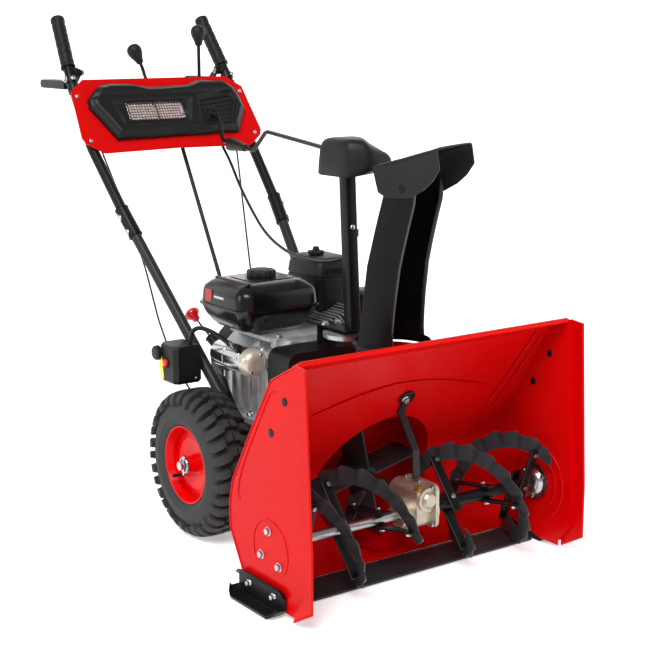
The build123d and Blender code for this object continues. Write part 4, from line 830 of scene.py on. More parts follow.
# ---------------------------------------------------------------- engine
@dataclass
class Engine:
    """Tank, air box, castings, starter and recoil of the side-shaft engine."""

    tank_at: Point = (-68.0, 6.0)
    tank_size: Point = (212.0, 196.0)
    cap_at: Point = (-58.0, 12.0)
    starter: Point = (-148.0, 396.0)

    def tank(self) -> None:
        """A two-shell tank with a pinched mid seam, sloped shoulders and a raised panel on top."""
        shape = Shape("tank_shell", "machine", TANK_GLOSS)
        rows = ((455, 34, 26), (457, 28, 28), (466, 19, 30), (484, 7, 32), (500, 1.5, 33), (503, 0.5, 33),
                (504, -3.5, 36), (508.5, -3.5, 36), (509.5, 1, 33), (513, 1.5, 33), (530, 3, 32),
                (540, 5, 30), (546, 8, 28), (556, 20, 24), (560, 27, 22), (561.8, 33, 20))
        rings = []
        for z, inset, corner in rows:
            rings.append([Vector((self.tank_at[0] + x, self.tank_at[1] + y, z)) for x, y in
                          rounded(self.tank_size[0] - 2 * inset, self.tank_size[1] - 2 * inset, corner, 8)])
        shape.loft(rings)
        panel = rounded(118, 104, 14, 6)
        shape.slab(panel, place((self.tank_at[0] + 8, self.tank_at[1], 561.2), *UPRIGHT), 2.4, 3)
        rib = [(self.tank_at[0] - 72, -66, 561.5), (self.tank_at[0] - 72, 70, 561.5)]
        shape.tube(rib, 3.4, 12)
        shape.piece(replaces=("fuel_tank",), smooth=28, bevel=0.0)
        for name, finish, at, wide, tall in (("tank_badge", PLAIN_BADGE, 52, 26, 26),
                                             ("tank_badge_line", PALE_BADGE, 8, 40, 5)):
            badge = Shape(name, "machine", finish)
            face = place((self.tank_at[0] - self.tank_size[0] / 2 + 2.4, at, 527), (0, -1, 0),
                         (-1, 0, 0.08))
            badge.slab(rounded(wide, tall, 2, 3), face, 0.9)
            badge.piece()

    def cap(self) -> None:
        """A scalloped screw cap with a ratchet rim."""
        shape = Shape("scalloped_cap", "fuel_cap", BLACK_ABS)
        where = place((*self.cap_at, 562.6), *UPRIGHT)
        shape.lathe([(0, 27), (1.5, 31), (12, 31.5), (15.5, 29), (16.6, 24), (15.6, 19), (16.6, 17),
                     (17.4, 9), (17.6, 2)], where, 100, lobes=10, lobe_depth=1.6)
        shape.piece(replaces=("fuel_cap",), smooth=45)

    def air_box(self) -> None:
        """A rounded filter housing with a lid line, a row of teeth on its front and a star knob."""
        shape = Shape("filter_housing", "machine", BLACK_ABS)
        rows = ((472, 6, 12), (476, 1, 15), (546, 0, 17), (548, 0, 17), (549, 2, 16), (552, 2, 16),
                (553, -0.5, 17), (576, 2, 18), (586, 6, 18), (592, 13, 16), (594, 22, 14))
        shape.loft([[Vector((118 + x, 33 + y, z))
                     for x, y in rounded(104 - 2 * inset, 136 - 2 * inset, corner, 6)]
                    for z, inset, corner in rows])
        for index in range(9):
            shape.slab([(0, 0), (4, 0), (4, 14), (0, 14)],
                       place((80 + index * 8.5, -35.6, 556), (1, 0, 0.0), (0, -1, 0)), 2.5, 1)
        shape.piece(replaces=("air_box",), smooth=30, bevel=0.5)
        knob = Shape("star_knob", "choke", BLACK_ABS)
        knob.lathe([(0, 9), (2, 18), (7, 18.5), (9, 16), (10, 8), (17, 6.5), (18.6, 4)],
                   place((104, 30, 594.4), *UPRIGHT), 60, lobes=6, lobe_depth=2.2)
        knob.piece(replaces=("choke_knob",))

    def castings(self) -> None:
        """Carrier rails under the tank, cover ribs, carburettor and case bolts."""
        shape = Shape("engine_castings", "machine", CAST)
        shape.slab([(-112, -100), (58, -100), (58, 84), (-96, 84), (-112, 60)],
                   place((0, 0, 438), *UPRIGHT), 9)
        shape.slab([(-104, -112), (60, -112), (60, -92), (-104, -92)], place((0, 0, 424), *UPRIGHT), 22, 2)
        for x in (-96, -60, -24, 12, 44):
            shape.slab([(-3.5, 0), (3.5, 0), (3.5, 40), (-3.5, 40)],
                       place((x, -127.6, 384), (1, 0, 0), (0, -1, 0)), 7, 1)
        for y in (-96, -60, -24, 12, 48, 80):
            shape.slab([(-3, 0), (3, 0), (3, 92), (-3, 92)],
                       place((-111.6, y, 268), (0, -1, 0), (-1, 0, 0)), 6, 1)
        shape.lathe([(0, 62), (8, 62), (10, 58), (10, 30), (16, 26), (17, 14)],
                    place((-20, -127.8, 350), (1, 0, 0), (0, -1, 0)), 48)
        shape.lathe([(0, 12), (18, 12), (20, 9), (34, 9)], place((-100, -60, 402), (1, 0, 0),
                                                                 (-0.6, 0, 0.8)), 20)
        shape.piece(smooth=30, bevel=1.2)
        head = Shape("cooling_fins", "machine", CAST)
        tilt = math.radians(25)
        bore = place((48, -34, 388), (0, 1, 0), (math.cos(tilt), 0, math.sin(tilt)))
        for fin in range(9):
            lift = 28 + fin * 9.5
            grow = 2.5 if fin % 2 else 0
            head.slab(rounded(132 + grow, 126, 20), bore @ Matrix.Translation((0, 0, lift)), 2.2, 0.6)
        for x, y in ((-38, -30), (38, -30), (-38, 30), (38, 30)):
            head.hex_bolt(bore @ Matrix.Translation((x, y, 113.6)), 11, 8, 8)
        head.slab(rounded(96, 80, 16), bore @ Matrix.Translation((0, 0, 113)), 5, 0.8)
        head.slab(rounded(80, 64, 16), bore @ Matrix.Translation((0, 0, 139)), 3, 2)
        head.piece(smooth=30, bevel=0.5)
        bolts = Shape("engine_bolts", "machine", ZINC)
        for y, z in ((-104, 262), (-104, 380), (66, 262), (70, 372), (-20, 258)):
            bolts.hex_bolt(place((-112.2, y, z), (0, 1, 0), (-1, 0, 0)), 11, 5, 9)
        for turn in range(6):
            angle = math.radians(60 * turn + 15)
            bolts.hex_bolt(place((-20 + 54 * math.cos(angle), -137.8, 350 + 54 * math.sin(angle)),
                                 (1, 0, 0), (0, -1, 0)), 9, 4, 0)
        for x in (-88, 30):
            bolts.hex_bolt(place((x, -102, 446.2), (1, 0, 0), (0, 0, 1)), 12, 5, 9)
        bolts.piece()

    def starter_motor(self) -> None:
        """A plated motor can with band seams, a lacquered end cap with two screws, and its nose block."""
        x, z = self.starter
        along = place((x, 0, z), (1, 0, 0), (0, -1, 0))
        can = Shape("motor_can", "machine", STARTER_STEEL)
        can.lathe([(-44, 24), (-43, 28.6), (-40, 29), (8, 29), (9, 28.2), (11, 28.2), (12, 29), (66, 29),
                   (67, 28.2), (69, 28.2), (70, 29), (78, 29)], along, 56)
        can.slab([(-8, -36), (36, -36), (36, 16), (-8, 16)], place((x, 40, z), (1, 0, 0), (0, -1, 0)),
                 40, 1)
        can.lathe([(0, 5), (10, 5), (10, 7), (14, 7), (14, 4), (22, 4)],
                  place((x - 21, -50, z + 24), (1, 0, 0), (-0.5, 0, 0.86)), 18)
        can.piece(replaces=("starter_motor",), smooth=35)
        cap = Shape("motor_end_cap", "machine", CHAMPAGNE_PAINT)
        cap.lathe([(78.2, 30.5), (80, 32), (92, 31.4), (99, 29), (104.5, 24), (107.5, 17), (108, 9),
                   (107, 4)], along, 56)
        cap.piece(smooth=40)
        screws = Shape("motor_screws", "machine", ZINC)
        for turn in (55, 235):
            angle = math.radians(turn)
            screws.round_bolt(place((x + 21 * math.cos(angle), -103, z + 21 * math.sin(angle)), (1, 0, 0),
                                    (0.2 * math.cos(angle), -1, 0.2 * math.sin(angle))), 5.5, 4)
        screws.piece()
        boot = Shape("cable_boot", "machine", RUBBER)
        boot.tube([(-169, -70, 427), (-169, -60, 427), (-169, -46, 427.5), (-172, -32, 431)], 7, 16)
        boot.piece()

    def muffler(self) -> None:
        """A pierced guard round the silencer."""
        shape = Shape("pierced_guard", "machine", BLACK_POWDER)
        shape.loft([[Vector((140 + x, -148 + y, z))
                     for x, y in rounded(112 - 2 * inset, 76 - 2 * inset, 14)]
                    for z, inset in ((466, 4), (469, 0), (532, 0), (538, 7))])
        for row in range(4):
            for column in range(8):
                shape.slab(rounded(8, 5, 2.4, 4), place((96 + column * 12.5, -186, 477 + row * 14),
                                                        (1, 0, 0), (0, -1, 0)), 1.4, 0.6)
        shape.piece(replaces=("muffler_guard",), smooth=35)

    def recoil(self) -> None:
        """Cooling slots of the starter cover, and the red pull handle on its rope."""
        out, handle = Vector((-118, 128, 404)), Vector((-137, 178, 453))
        pull = (handle - out).normalized()
        bell = Shape("pull_handle", "recoil", RED_GLOSS)
        bell.lathe([(-13, 5), (-12, 8), (-4, 10), (4, 17.5), (9, 18.5), (13, 17), (18, 11), (20, 4)],
                   place(tuple(handle), (1, 0, 0), tuple(pull)), 40)
        bell.piece(replaces=("recoil_handle",))
        rope = Shape("pull_rope", "recoil", CABLE)
        rope.tube([tuple(handle - pull * d) for d in (116, 80, 40, 10)], 2.2, 12)
        rope.piece()
        ring = Shape("rope_guide", "machine", BLACK_ABS)
        ring.lathe([(6.2, 6), (6.4, 13), (9, 14), (11.5, 12), (12, 7)],
                   place(tuple(out), (1, 0, 0), tuple(pull)), 28)
        ring.piece()
        slots = Shape("cover_vanes", "machine", BLACK_ABS)
        for turn in range(24):
            angle = 2 * math.pi * turn / 24
            spoke = place((-20 + 50 * math.cos(angle), 163.6, 354 + 50 * math.sin(angle)),
                          (math.cos(angle), 0, math.sin(angle)), (0, 1, 0))
            slots.slab([(-20, -1.8), (20, -1.8), (20, 1.8), (-20, 1.8)], spoke, 2.6, 0.6)
        slots.lathe([(0, 28), (3, 28), (5, 24), (6, 12)], place((-20, 163.6, 354), (1, 0, 0), (0, 1, 0)),
                    36)
        slots.piece()

    def switch_box(self) -> None:
        """The electric-start box: chamfered case, round boss, blank yellow label and red push button."""
        x, y, z = -223.0, 100.0, 372.0
        case = Shape("start_box", "machine", BLACK_ABS)
        outline = [(-24, -40), (33, -40), (33, 40), (-20, 40), (-33, 24), (-33, -30)]
        rows = ((-43, 0.88), (-36, 1.0), (37, 1.0), (43, 0.93))
        case.loft([[Vector((x + px * k, y + py * k, z + dz)) for px, py in outline] for dz, k in rows])
        case.lathe([(0, 17), (9, 16.4), (11.5, 14), (12, 6)], place((x - 32.6, y + 34, z + 20), (0, 1, 0),
                                                                    (-1, 0, 0)), 36)
        case.lathe([(0, 12), (2, 12), (2.4, 10.4), (-2, 10.2)], place((x - 33, y, z + 3), (0, 1, 0),
                                                                      (-1, 0, 0)), 28)
        case.piece(replaces=("switch_box",), smooth=30, bevel=2.0)
        label = Shape("blank_label", "machine", YELLOW_LABEL)
        label.slab(rounded(14, 58, 3), place((x - 33.4, y + 22, z - 8), (0, 1, -0.16), (-1, 0, 0)), 0.8)
        label.piece()
        button = Shape("start_button", "starter_button", RED_GLOSS)
        button.lathe([(0, 8.8), (15, 8.8), (17.5, 8), (19, 5.5), (19.5, 1)],
                     place((x - 21, y, z + 3), (0, 1, 0), (-1, 0, 0)), 32)
        button.piece(replaces=("starter_button",))
        rivet = Shape("box_rivet", "machine", ZINC)
        rivet.round_bolt(place((x + 20, y - 40.2, z - 32), (1, 0, 0), (0, -1, 0)), 3.2, 2)
        rivet.piece()

    def build(self) -> None:
        """Make the engine's visible pieces."""
        self.tank()
        self.cap()
        self.air_box()
        self.castings()
        self.starter_motor()
        self.muffler()
        self.recoil()
        self.switch_box()


# ---------------------------------------------------------------- chute
@dataclass
class Chute:
    """The discharge chute's channel, its deflector, the gear hood on its post and the crank's rod."""

    turn_deg: float = 23.0
    at_y: float = -390.0
    channel_sheet: float = 3.2
    cap_sheet: float = 3.0
    post_width: float = 27.0

    def spot(self, out: float, across: float, up: float) -> Vector:
        """A point given out of the chute's mouth, across it and up."""
        turn = math.radians(self.turn_deg)
        return Vector((math.sin(turn) * out + math.cos(turn) * across,
                       self.at_y - math.cos(turn) * out + math.sin(turn) * across, up))

    def channel(self) -> None:
        """The open-fronted channel: a bowed sheet with rolled-in lips, swept up and forward."""
        shape = Shape("chute_shell", "chute", CHUTE_PLASTIC)
        rings = []
        for back, back_z, front, front_z, half in ((-52, 470, 34, 478, 76), (-46, 500, 33, 505, 74.5),
                                                   (-42, 535, 35, 540, 73), (-38, 570, 38, 575, 71.5),
                                                   (-31, 640, 46, 640, 69), (-22, 680, 53, 674, 68.2),
                                                   (-14, 715, 60, 705, 67.5), (-4, 755, 68, 738, 67),
                                                   (6, 793, 76, 770, 67), (16, 812, 79, 812, 67)):
            line = [(front - 1, half - 17), (front + 1.5, half - 9), (front + 1, half - 3),
                    (front - 4, half), (back + 22, half), (back + 6, half - 5), (back, half - 20),
                    (back - 2, half - 45)]
            outer = ([(-across, out) for out, across in line]
                     + [(across, out) for out, across in reversed(line)])
            ring = []
            for across, out in thicken(outer, self.channel_sheet):
                share = (out - back) / (front - back)
                ring.append(self.spot(out, across,
                                      back_z + (front_z - back_z) * min(1.1, max(-0.1, share))))
            rings.append(ring)
        shape.loft(rings)
        shape.lathe([(466, 74.6), (466, 79), (470, 84), (478, 84), (481, 79), (484, 77)],
                    place((0, self.at_y, 0), *UPRIGHT), 56, capped=False)
        shape.piece(replaces=("chute_channel",), smooth=48)

    def deflector(self) -> None:
        """The tilting cap: one bent sheet whose cheeks sweep down from a rounded top."""
        shape = Shape("deflector_cap", "deflector", CHARCOAL)
        rings = []
        for top, top_z, low, low_z in ((-10, 841, -8, 833), (2, 846, 3, 791), (20, 851, 22, 781),
                                       (50, 859, 50, 781.5), (76, 867, 76, 784), (100, 874, 104, 800),
                                       (118, 879, 124, 818), (133, 884, 140, 842)):
            half = 71.4 + max(0.0, top - 60) * 0.08
            side = [(half, 0.0), (half, 0.5), (half, 0.85), (half - 2, 0.94), (half - 7, 0.99),
                    (half - 16, 1.0), (half * 0.4, 1.01)]
            outer = [(-across, k) for across, k in side] + [(across, k) for across, k in reversed(side)]
            outline = [(across, low_z + (top_z - low_z) * k) for across, k in outer]
            leaning = [low + (top - low) * k for _, k in outer]
            bent = thicken(outline, -self.cap_sheet)
            outs = leaning + list(reversed(leaning))
            rings.append([self.spot(out, across, up) for (across, up), out in zip(bent, outs)])
        shape.loft(rings)
        shape.piece(replaces=("deflector",), smooth=45)
        pins = Shape("deflector_pins", "deflector", BLACK_POWDER)
        for cheek in (-1, 1):
            where = self.spot(56, cheek * 71.6, 800)
            out = self.spot(56, cheek * 100, 800) - self.spot(56, 0, 800)
            pins.round_bolt(place(tuple(where), (0, 0, 1), tuple(out)), 7, 4)
        pins.piece()

    def hood(self) -> None:
        """The soft-edged hood over the chute's bevel gears, sloping down away from the chute."""
        shape = Shape("bevel_hood", "machine", CHARCOAL)
        plan = [(62, -306), (46, -250), (40, -190), (-46, -190), (-42, -282), (0, -310)]
        middle = Vector((8, -250))
        rings = []
        for share, grow in ((0.0, 1.03), (0.03, 1.08), (0.35, 1.06), (0.7, 1.02), (0.86, 0.96),
                            (0.95, 0.86), (0.99, 0.7), (1.0, 0.4)):
            ring = []
            for i in range(len(plan)):
                before, here, after = (Vector(plan[(i + k) % len(plan)]) for k in (-1, 0, 1))
                for turn in (0.0, 0.25, 0.5, 0.75, 1.0):
                    low = here.lerp(before, 0.22)
                    high = here.lerp(after, 0.22)
                    bend = low.lerp(here, turn).lerp(here.lerp(high, turn), turn)
                    flat = middle + (bend - middle) * grow
                    run = 0.815 * flat.x - 0.58 * flat.y
                    top = 884 - 26 * ramp(run, 158, 205) - 6 * ramp(run, 205, 228)
                    foot = 806 + 12 * ramp(run, 150, 185)
                    ring.append(Vector((flat.x, flat.y, foot + (top - foot) * share)))
            rings.append(ring)
        shape.loft(rings)
        shape.piece(replaces=("gear_hood",), smooth=60)

    def post(self) -> None:
        """The square post under the hood, its foot plate and their bolts."""
        shape = Shape("square_post", "machine", BLACK_POWDER)
        shape.loft([[Vector((x + dx, -250 + dy, z))
                     for dx, dy in rounded(self.post_width, self.post_width, 4, 3)]
                    for x, z in ((2, 480.5), (-6, 648), (-13, 812))])
        shape.slab(rounded(52, 106, 4, 3), place((-5, -215, 477.5), *UPRIGHT), 4)
        shape.slab(rounded(52, 44, 2, 2), place((-5, -164, 458.5), (1, 0, 0), (0, -1, 0)), 4)
        shape.slab(rounded(17, 14, 3, 2), place((10.5, -243, 676), *UPRIGHT), 16)
        shape.piece(replaces=("chute_post",), smooth=35, bevel=0.8)
        bolts = Shape("post_bolts", "machine", ZINC)
        for x in (-22, 12):
            bolts.hex_bolt(place((x, -182, 481.6), *UPRIGHT), 11, 5, 9)
        bolts.round_bolt(place((-9, -263.6, 700), (1, 0, 0), (0, -1, 0)), 5.5, 3.5)
        bolts.piece()

    def crank(self) -> None:
        """The long rod of the chute crank with its offset arm."""
        shape = Shape("bent_crank_rod", "crank", BLACK_POWDER)
        run = [CRANK_FRONT + CRANK_ALONG * out + CRANK_DOWN * drop for out,
               drop in ((0, 0), (180, 0), (352, 0), (364, 1.5), (376, 6), (436, 48), (446, 52.5),
                        (458, CRANK_ARM), (540, CRANK_ARM), (627, CRANK_ARM), (639, 52.5), (648, 47),
                        (666, 7), (674, 1.5), (684, 0), (735, 0))]
        shape.tube([tuple(spot) for spot in run], 5.0, 14, up=(1, 0, 0))
        shape.piece(replaces=("crank_rod",), smooth=60)

    def build(self) -> None:
        """Make the chute's visible pieces."""
        self.channel()
        self.deflector()
        self.hood()
        self.post()
        self.crank()


# ---------------------------------------------------------------- dash
def inside_distance(spot: Vector, outline: list[Point]) -> float:
    """How far a point is inside a closed outline, negative when outside."""
    inside, nearest = False, 1e9
    count = len(outline)
    for i in range(count):
        a, b = Vector(outline[i]), Vector(outline[(i + 1) % count])
        run = b - a
        share = min(1.0, max(0.0, (spot - a).dot(run) / run.length_squared))
        nearest = min(nearest, (spot - a - run * share).length)
        if (a.y > spot.y) != (b.y > spot.y) and spot.x < (b.x - a.x) * (spot.y - a.y) / (b.y - a.y) + a.x:
            inside = not inside
    return nearest if inside else -nearest


def ramp(value: float, low: float, high: float) -> float:
    """Zero at low, one at high, with softened ends."""
    share = min(1.0, max(0.0, (value - low) / (high - low)))
    return share * share * (3 - 2 * share)


@dataclass
class Dash:
    """The faceted dash moulding, its lamp, the control knobs and the crank's grip."""

    cell: float = 2.2
    bezel: tuple[Point, ...] = ((-164, -68), (182, -62), (223, 5), (217, 50), (180, 90), (105, 93),
                                (68, 78), (-42, 76), (-87, 87), (-147, 88), (-177, 80), (-211, 46),
                                (-212, 24))
    lamp_frame: tuple[Point, ...] = ((-159, 37), (74, 39), (45, -37), (-144, -40))
    lamp_at: Point = (-40.0, 4.0)
    lamp_well: tuple[Point, ...] = ((-120, 30), (40, 30), (40, -22), (-120, -22))
    rib_well: tuple[Point, ...] = ((84, 40), (186, 56), (204, 30), (168, -46), (70, -48))
    crank_hole: Point = (118.0, -8.0)

    def height(self, spot: Vector, outline: list[Point]) -> float | None:
        """The moulding's height above the panel at a point, or None outside it."""
        rim = inside_distance(spot, outline)
        if rim < 0:
            return None
        rise = 13 * ramp(rim, 0, 4) + 11 * ramp(rim, 3, 20)
        brow = ramp(spot.y, 46, 58) * (1 - ramp(spot.y, 66, 96)) * 7
        brow *= 1 - 0.55 * math.exp(-((spot.x + 20) / 70) ** 2)
        rise += brow
        frame = inside_distance(spot, list(self.lamp_frame))
        rise -= 9 * ramp(frame, 0, 16)
        well = inside_distance(spot, list(self.lamp_well))
        rise = min(rise, 24 - 15.5 * ramp(well, -1, 2)) if well > -1 else rise
        ribs = inside_distance(spot, list(self.rib_well))
        if ribs > 0:
            wave = 0.5 + 0.5 * math.cos(2 * math.pi * (spot.y - 0.12 * spot.x) / 12.5)
            rise -= 10 * ramp(ribs, 0, 9) - 2.8 * wave * ramp(ribs, 5, 12)
        hole = (spot - Vector(self.crank_hole)).length
        rise -= 10 * (1 - ramp(hole, 10, 17))
        return max(rise, 0.6)

    def moulding(self) -> None:
        """The dash moulding, sampled over its outline."""
        outline = list(self.bezel)
        shape = Shape("dash_moulding", "machine", PANEL_ABS)
        columns, rows = int(440 / self.cell), int(166 / self.cell)
        grid: dict[tuple[int, int], bmesh.types.BMVert] = {}
        for i in range(columns + 1):
            for j in range(rows + 1):
                spot = Vector((-214 + i * self.cell, -70 + j * self.cell))
                rise = self.height(spot, outline)
                if rise is not None:
                    grid[i, j] = shape.mesh.verts.new(DASH @ Vector((spot.x, spot.y, 0.3 + rise)))
        for i, j in list(grid):
            corners = [(i, j), (i + 1, j), (i + 1, j + 1), (i, j + 1)]
            if all(corner in grid for corner in corners):
                shape.mesh.faces.new([grid[corner] for corner in corners])
        skirt = [edge for edge in shape.mesh.edges if len(edge.link_faces) == 1]
        made = bmesh.ops.extrude_edge_only(shape.mesh, edges=skirt)
        out = Vector(DASH_OUT)
        for vert in (v for v in made["geom"] if isinstance(v, bmesh.types.BMVert)):
            lift = (vert.co - Vector((0, 520, 893))).dot(out)
            vert.co -= out * (lift - 0.2)
        loose = [v for v in shape.mesh.verts if not v.link_faces]
        bmesh.ops.delete(shape.mesh, geom=loose, context="VERTS")
        shape.piece(replaces=("dash_bezel",), smooth=42)

    def lamp(self) -> None:
        """Two emitter blocks of small cells in a bright tray behind a clear cover."""
        tray = Shape("lamp_tray", "machine", LAMP_MIRROR)
        centre = DASH @ Matrix.Translation((*self.lamp_at, 9.0))
        tray.slab(rounded(155, 51, 3), centre, 1.6)
        for x in (-76.5, 76.5):
            tray.slab(rounded(2.5, 50, 1), centre @ Matrix.Translation((x, 0, 1.4)), 5)
        tray.slab(rounded(5, 48, 1), centre @ Matrix.Translation((3, 0, 1.4)), 4)
        for y in (-24.5, 24.5):
            tray.slab(rounded(152, 2.4, 1), centre @ Matrix.Translation((0, y, 1.4)), 5)
        tray.piece(smooth=30)
        cells = Shape("lamp_cells", "machine", LAMP_CELL)
        for block in (-37, 40):
            for i in range(9):
                for j in range(6):
                    cells.slab(rounded(5.6, 5.2, 1.2, 2), centre @ Matrix.Translation(
                        (block - 31 + i * 7.6, -18.5 + j * 7.4, 1.5)), 2.6, 1.0)
        cells.piece(smooth=30)
        cover = Shape("lamp_cover", "machine", LAMP_GLASS)
        cover.slab(rounded(158, 51, 3.5), DASH @ Matrix.Translation((*self.lamp_at, 15.0)), 1.4, 0.8)
        cover.piece(replaces=("headlamp",), smooth=30)

    def speed_lever(self) -> None:
        """A curved stem with an egg-shaped knob, over its pivot plate."""
        pivot = DASH @ Vector((-6, 68, -34))
        up, out = Vector(DASH_UP), Vector(DASH_OUT)
        shape = Shape("speed_stem", "speed_lever", BLACK_POWDER)
        plate = place(tuple(pivot - out * 2.5), (1, 0, 0), DASH_OUT)
        shape.lathe([(0, 11), (5, 11)], plate, 28)
        shape.slab([(-6, 5), (6, 5), (6, 46), (-6, 46)], plate, 5, 0.4)
        shape.slab([(3, -6), (49, -6), (49, 6), (3, 6)], plate, 5, 0.4)
        stem = [pivot + up * 30, pivot + up * 38, Vector((-6.4, 614, 971)),
                Vector((-7.5, 624, 985)), Vector((-9.5, 631, 1003)), Vector((-13, 636, 1018))]
        shape.tube([tuple(spot) for spot in stem], 4.4, 14, up=(1, 0, 0))
        shape.piece(replaces=("speed_lever",), smooth=40)
        self.knob("speed_knob", "speed_lever", stem[-1], Vector((-0.32, 0.3, 0.9)).normalized())

    def knob(self, name: str, body: str, foot: Vector, along: Vector) -> None:
        """An egg-shaped knob on the end of a stem."""
        egg = Shape(name, body, BLACK_ABS)
        egg.lathe([(-2, 6.5), (0, 8.5), (9, 11), (20, 16), (30, 19), (38, 18.6), (45, 15), (49.5, 9),
                   (51, 2)], place(tuple(foot), (1, 0.1, 0), tuple(along)), 36)
        egg.piece(smooth=60)

    def deflector_lever(self) -> None:
        """A straight stem with its knob, leaning back through the shelf's slot."""
        pivot = DASH @ Vector((142, 68, -38))
        shape = Shape("deflector_stem", "deflector_lever", BLACK_POWDER)
        shape.lathe([(-2.5, 11), (2.5, 11)], place(tuple(pivot), (0, 1, 0), (1, 0, 0)), 28)
        shape.slab([(-6, 0), (6, 0), (6, 44), (-6, 44)],
                   place((pivot.x - 2.5, pivot.y, pivot.z), (0, 0.92, -0.38), (1, 0, 0)), 5, 0.4)
        base = pivot + Vector((0, 18, 40))
        shape.tube([tuple(base + Vector((0, 0, lift))) for lift in (-6, 0, 40, 98)], 4.4, 14, up=(0, -1, 0))
        shape.piece(replaces=("deflector_lever",), smooth=40)
        self.knob("deflector_knob", "deflector_lever", base + Vector((0, 0, 94)), Vector((0, 0.05, 1)))

    def crank_grip(self) -> None:
        """A wedge-shaped hand grip that turns on the crank's offset arm."""
        shape = Shape("wedge_grip", "crank_grip", CHARCOAL)
        rings = []
        for share, wide, tall, drop in ((0.0, 12, 13, 0), (0.03, 15, 17, 0), (0.3, 18, 21, 0.5),
                                        (0.6, 21, 26, 1), (0.85, 25, 32, 1.5), (0.97, 25, 32, 1.5),
                                        (1.0, 21, 28, 1.5)):
            middle = CRANK_FRONT + CRANK_ALONG * (492 + 106 * share) + CRANK_DOWN * (CRANK_ARM + drop)
            where = place(tuple(middle), tuple(CRANK_ALONG.cross(CRANK_DOWN)), tuple(CRANK_ALONG))
            rings.append([where @ Vector((x, y, 0)) for x, y in rounded(wide, tall, wide * 0.36, 4)])
        shape.loft(rings)
        shape.piece(replaces=("crank_grip",), smooth=50, bevel=0.8)

    def panel_trim(self) -> None:
        """The red panel's rolled hem and the bolts that hold it to the tubes."""
        hem = Shape("panel_hem", "machine", RED_POWDER)
        half = [(200, 108), (241, 76), (252, -54), (246, -68), (206, -97)]
        for side in (-1, 1):
            hem.tube([tuple(DASH @ Vector((side * x, y, -1.0))) for x, y in half], 1.9, 10, up=DASH_OUT)
        hem.tube([tuple(DASH @ Vector((x, y, -1.0))) for x, y in ((-206, -97), (0, -93), (206, -97))], 1.9,
                 10, up=DASH_OUT)
        hem.piece(smooth=60)
        bolts = Shape("panel_bolts", "machine", ZINC)
        for side in (-1, 1):
            for x, y in ((231, 62), (232, -62)):
                bolts.round_bolt(DASH @ Matrix.Translation((side * x, y, 0.2)), 5, 3)
        bolts.piece()

    def build(self) -> None:
        """Make the dash."""
        self.moulding()
        self.lamp()
        self.speed_lever()
        self.deflector_lever()
        self.crank_grip()
        self.panel_trim()


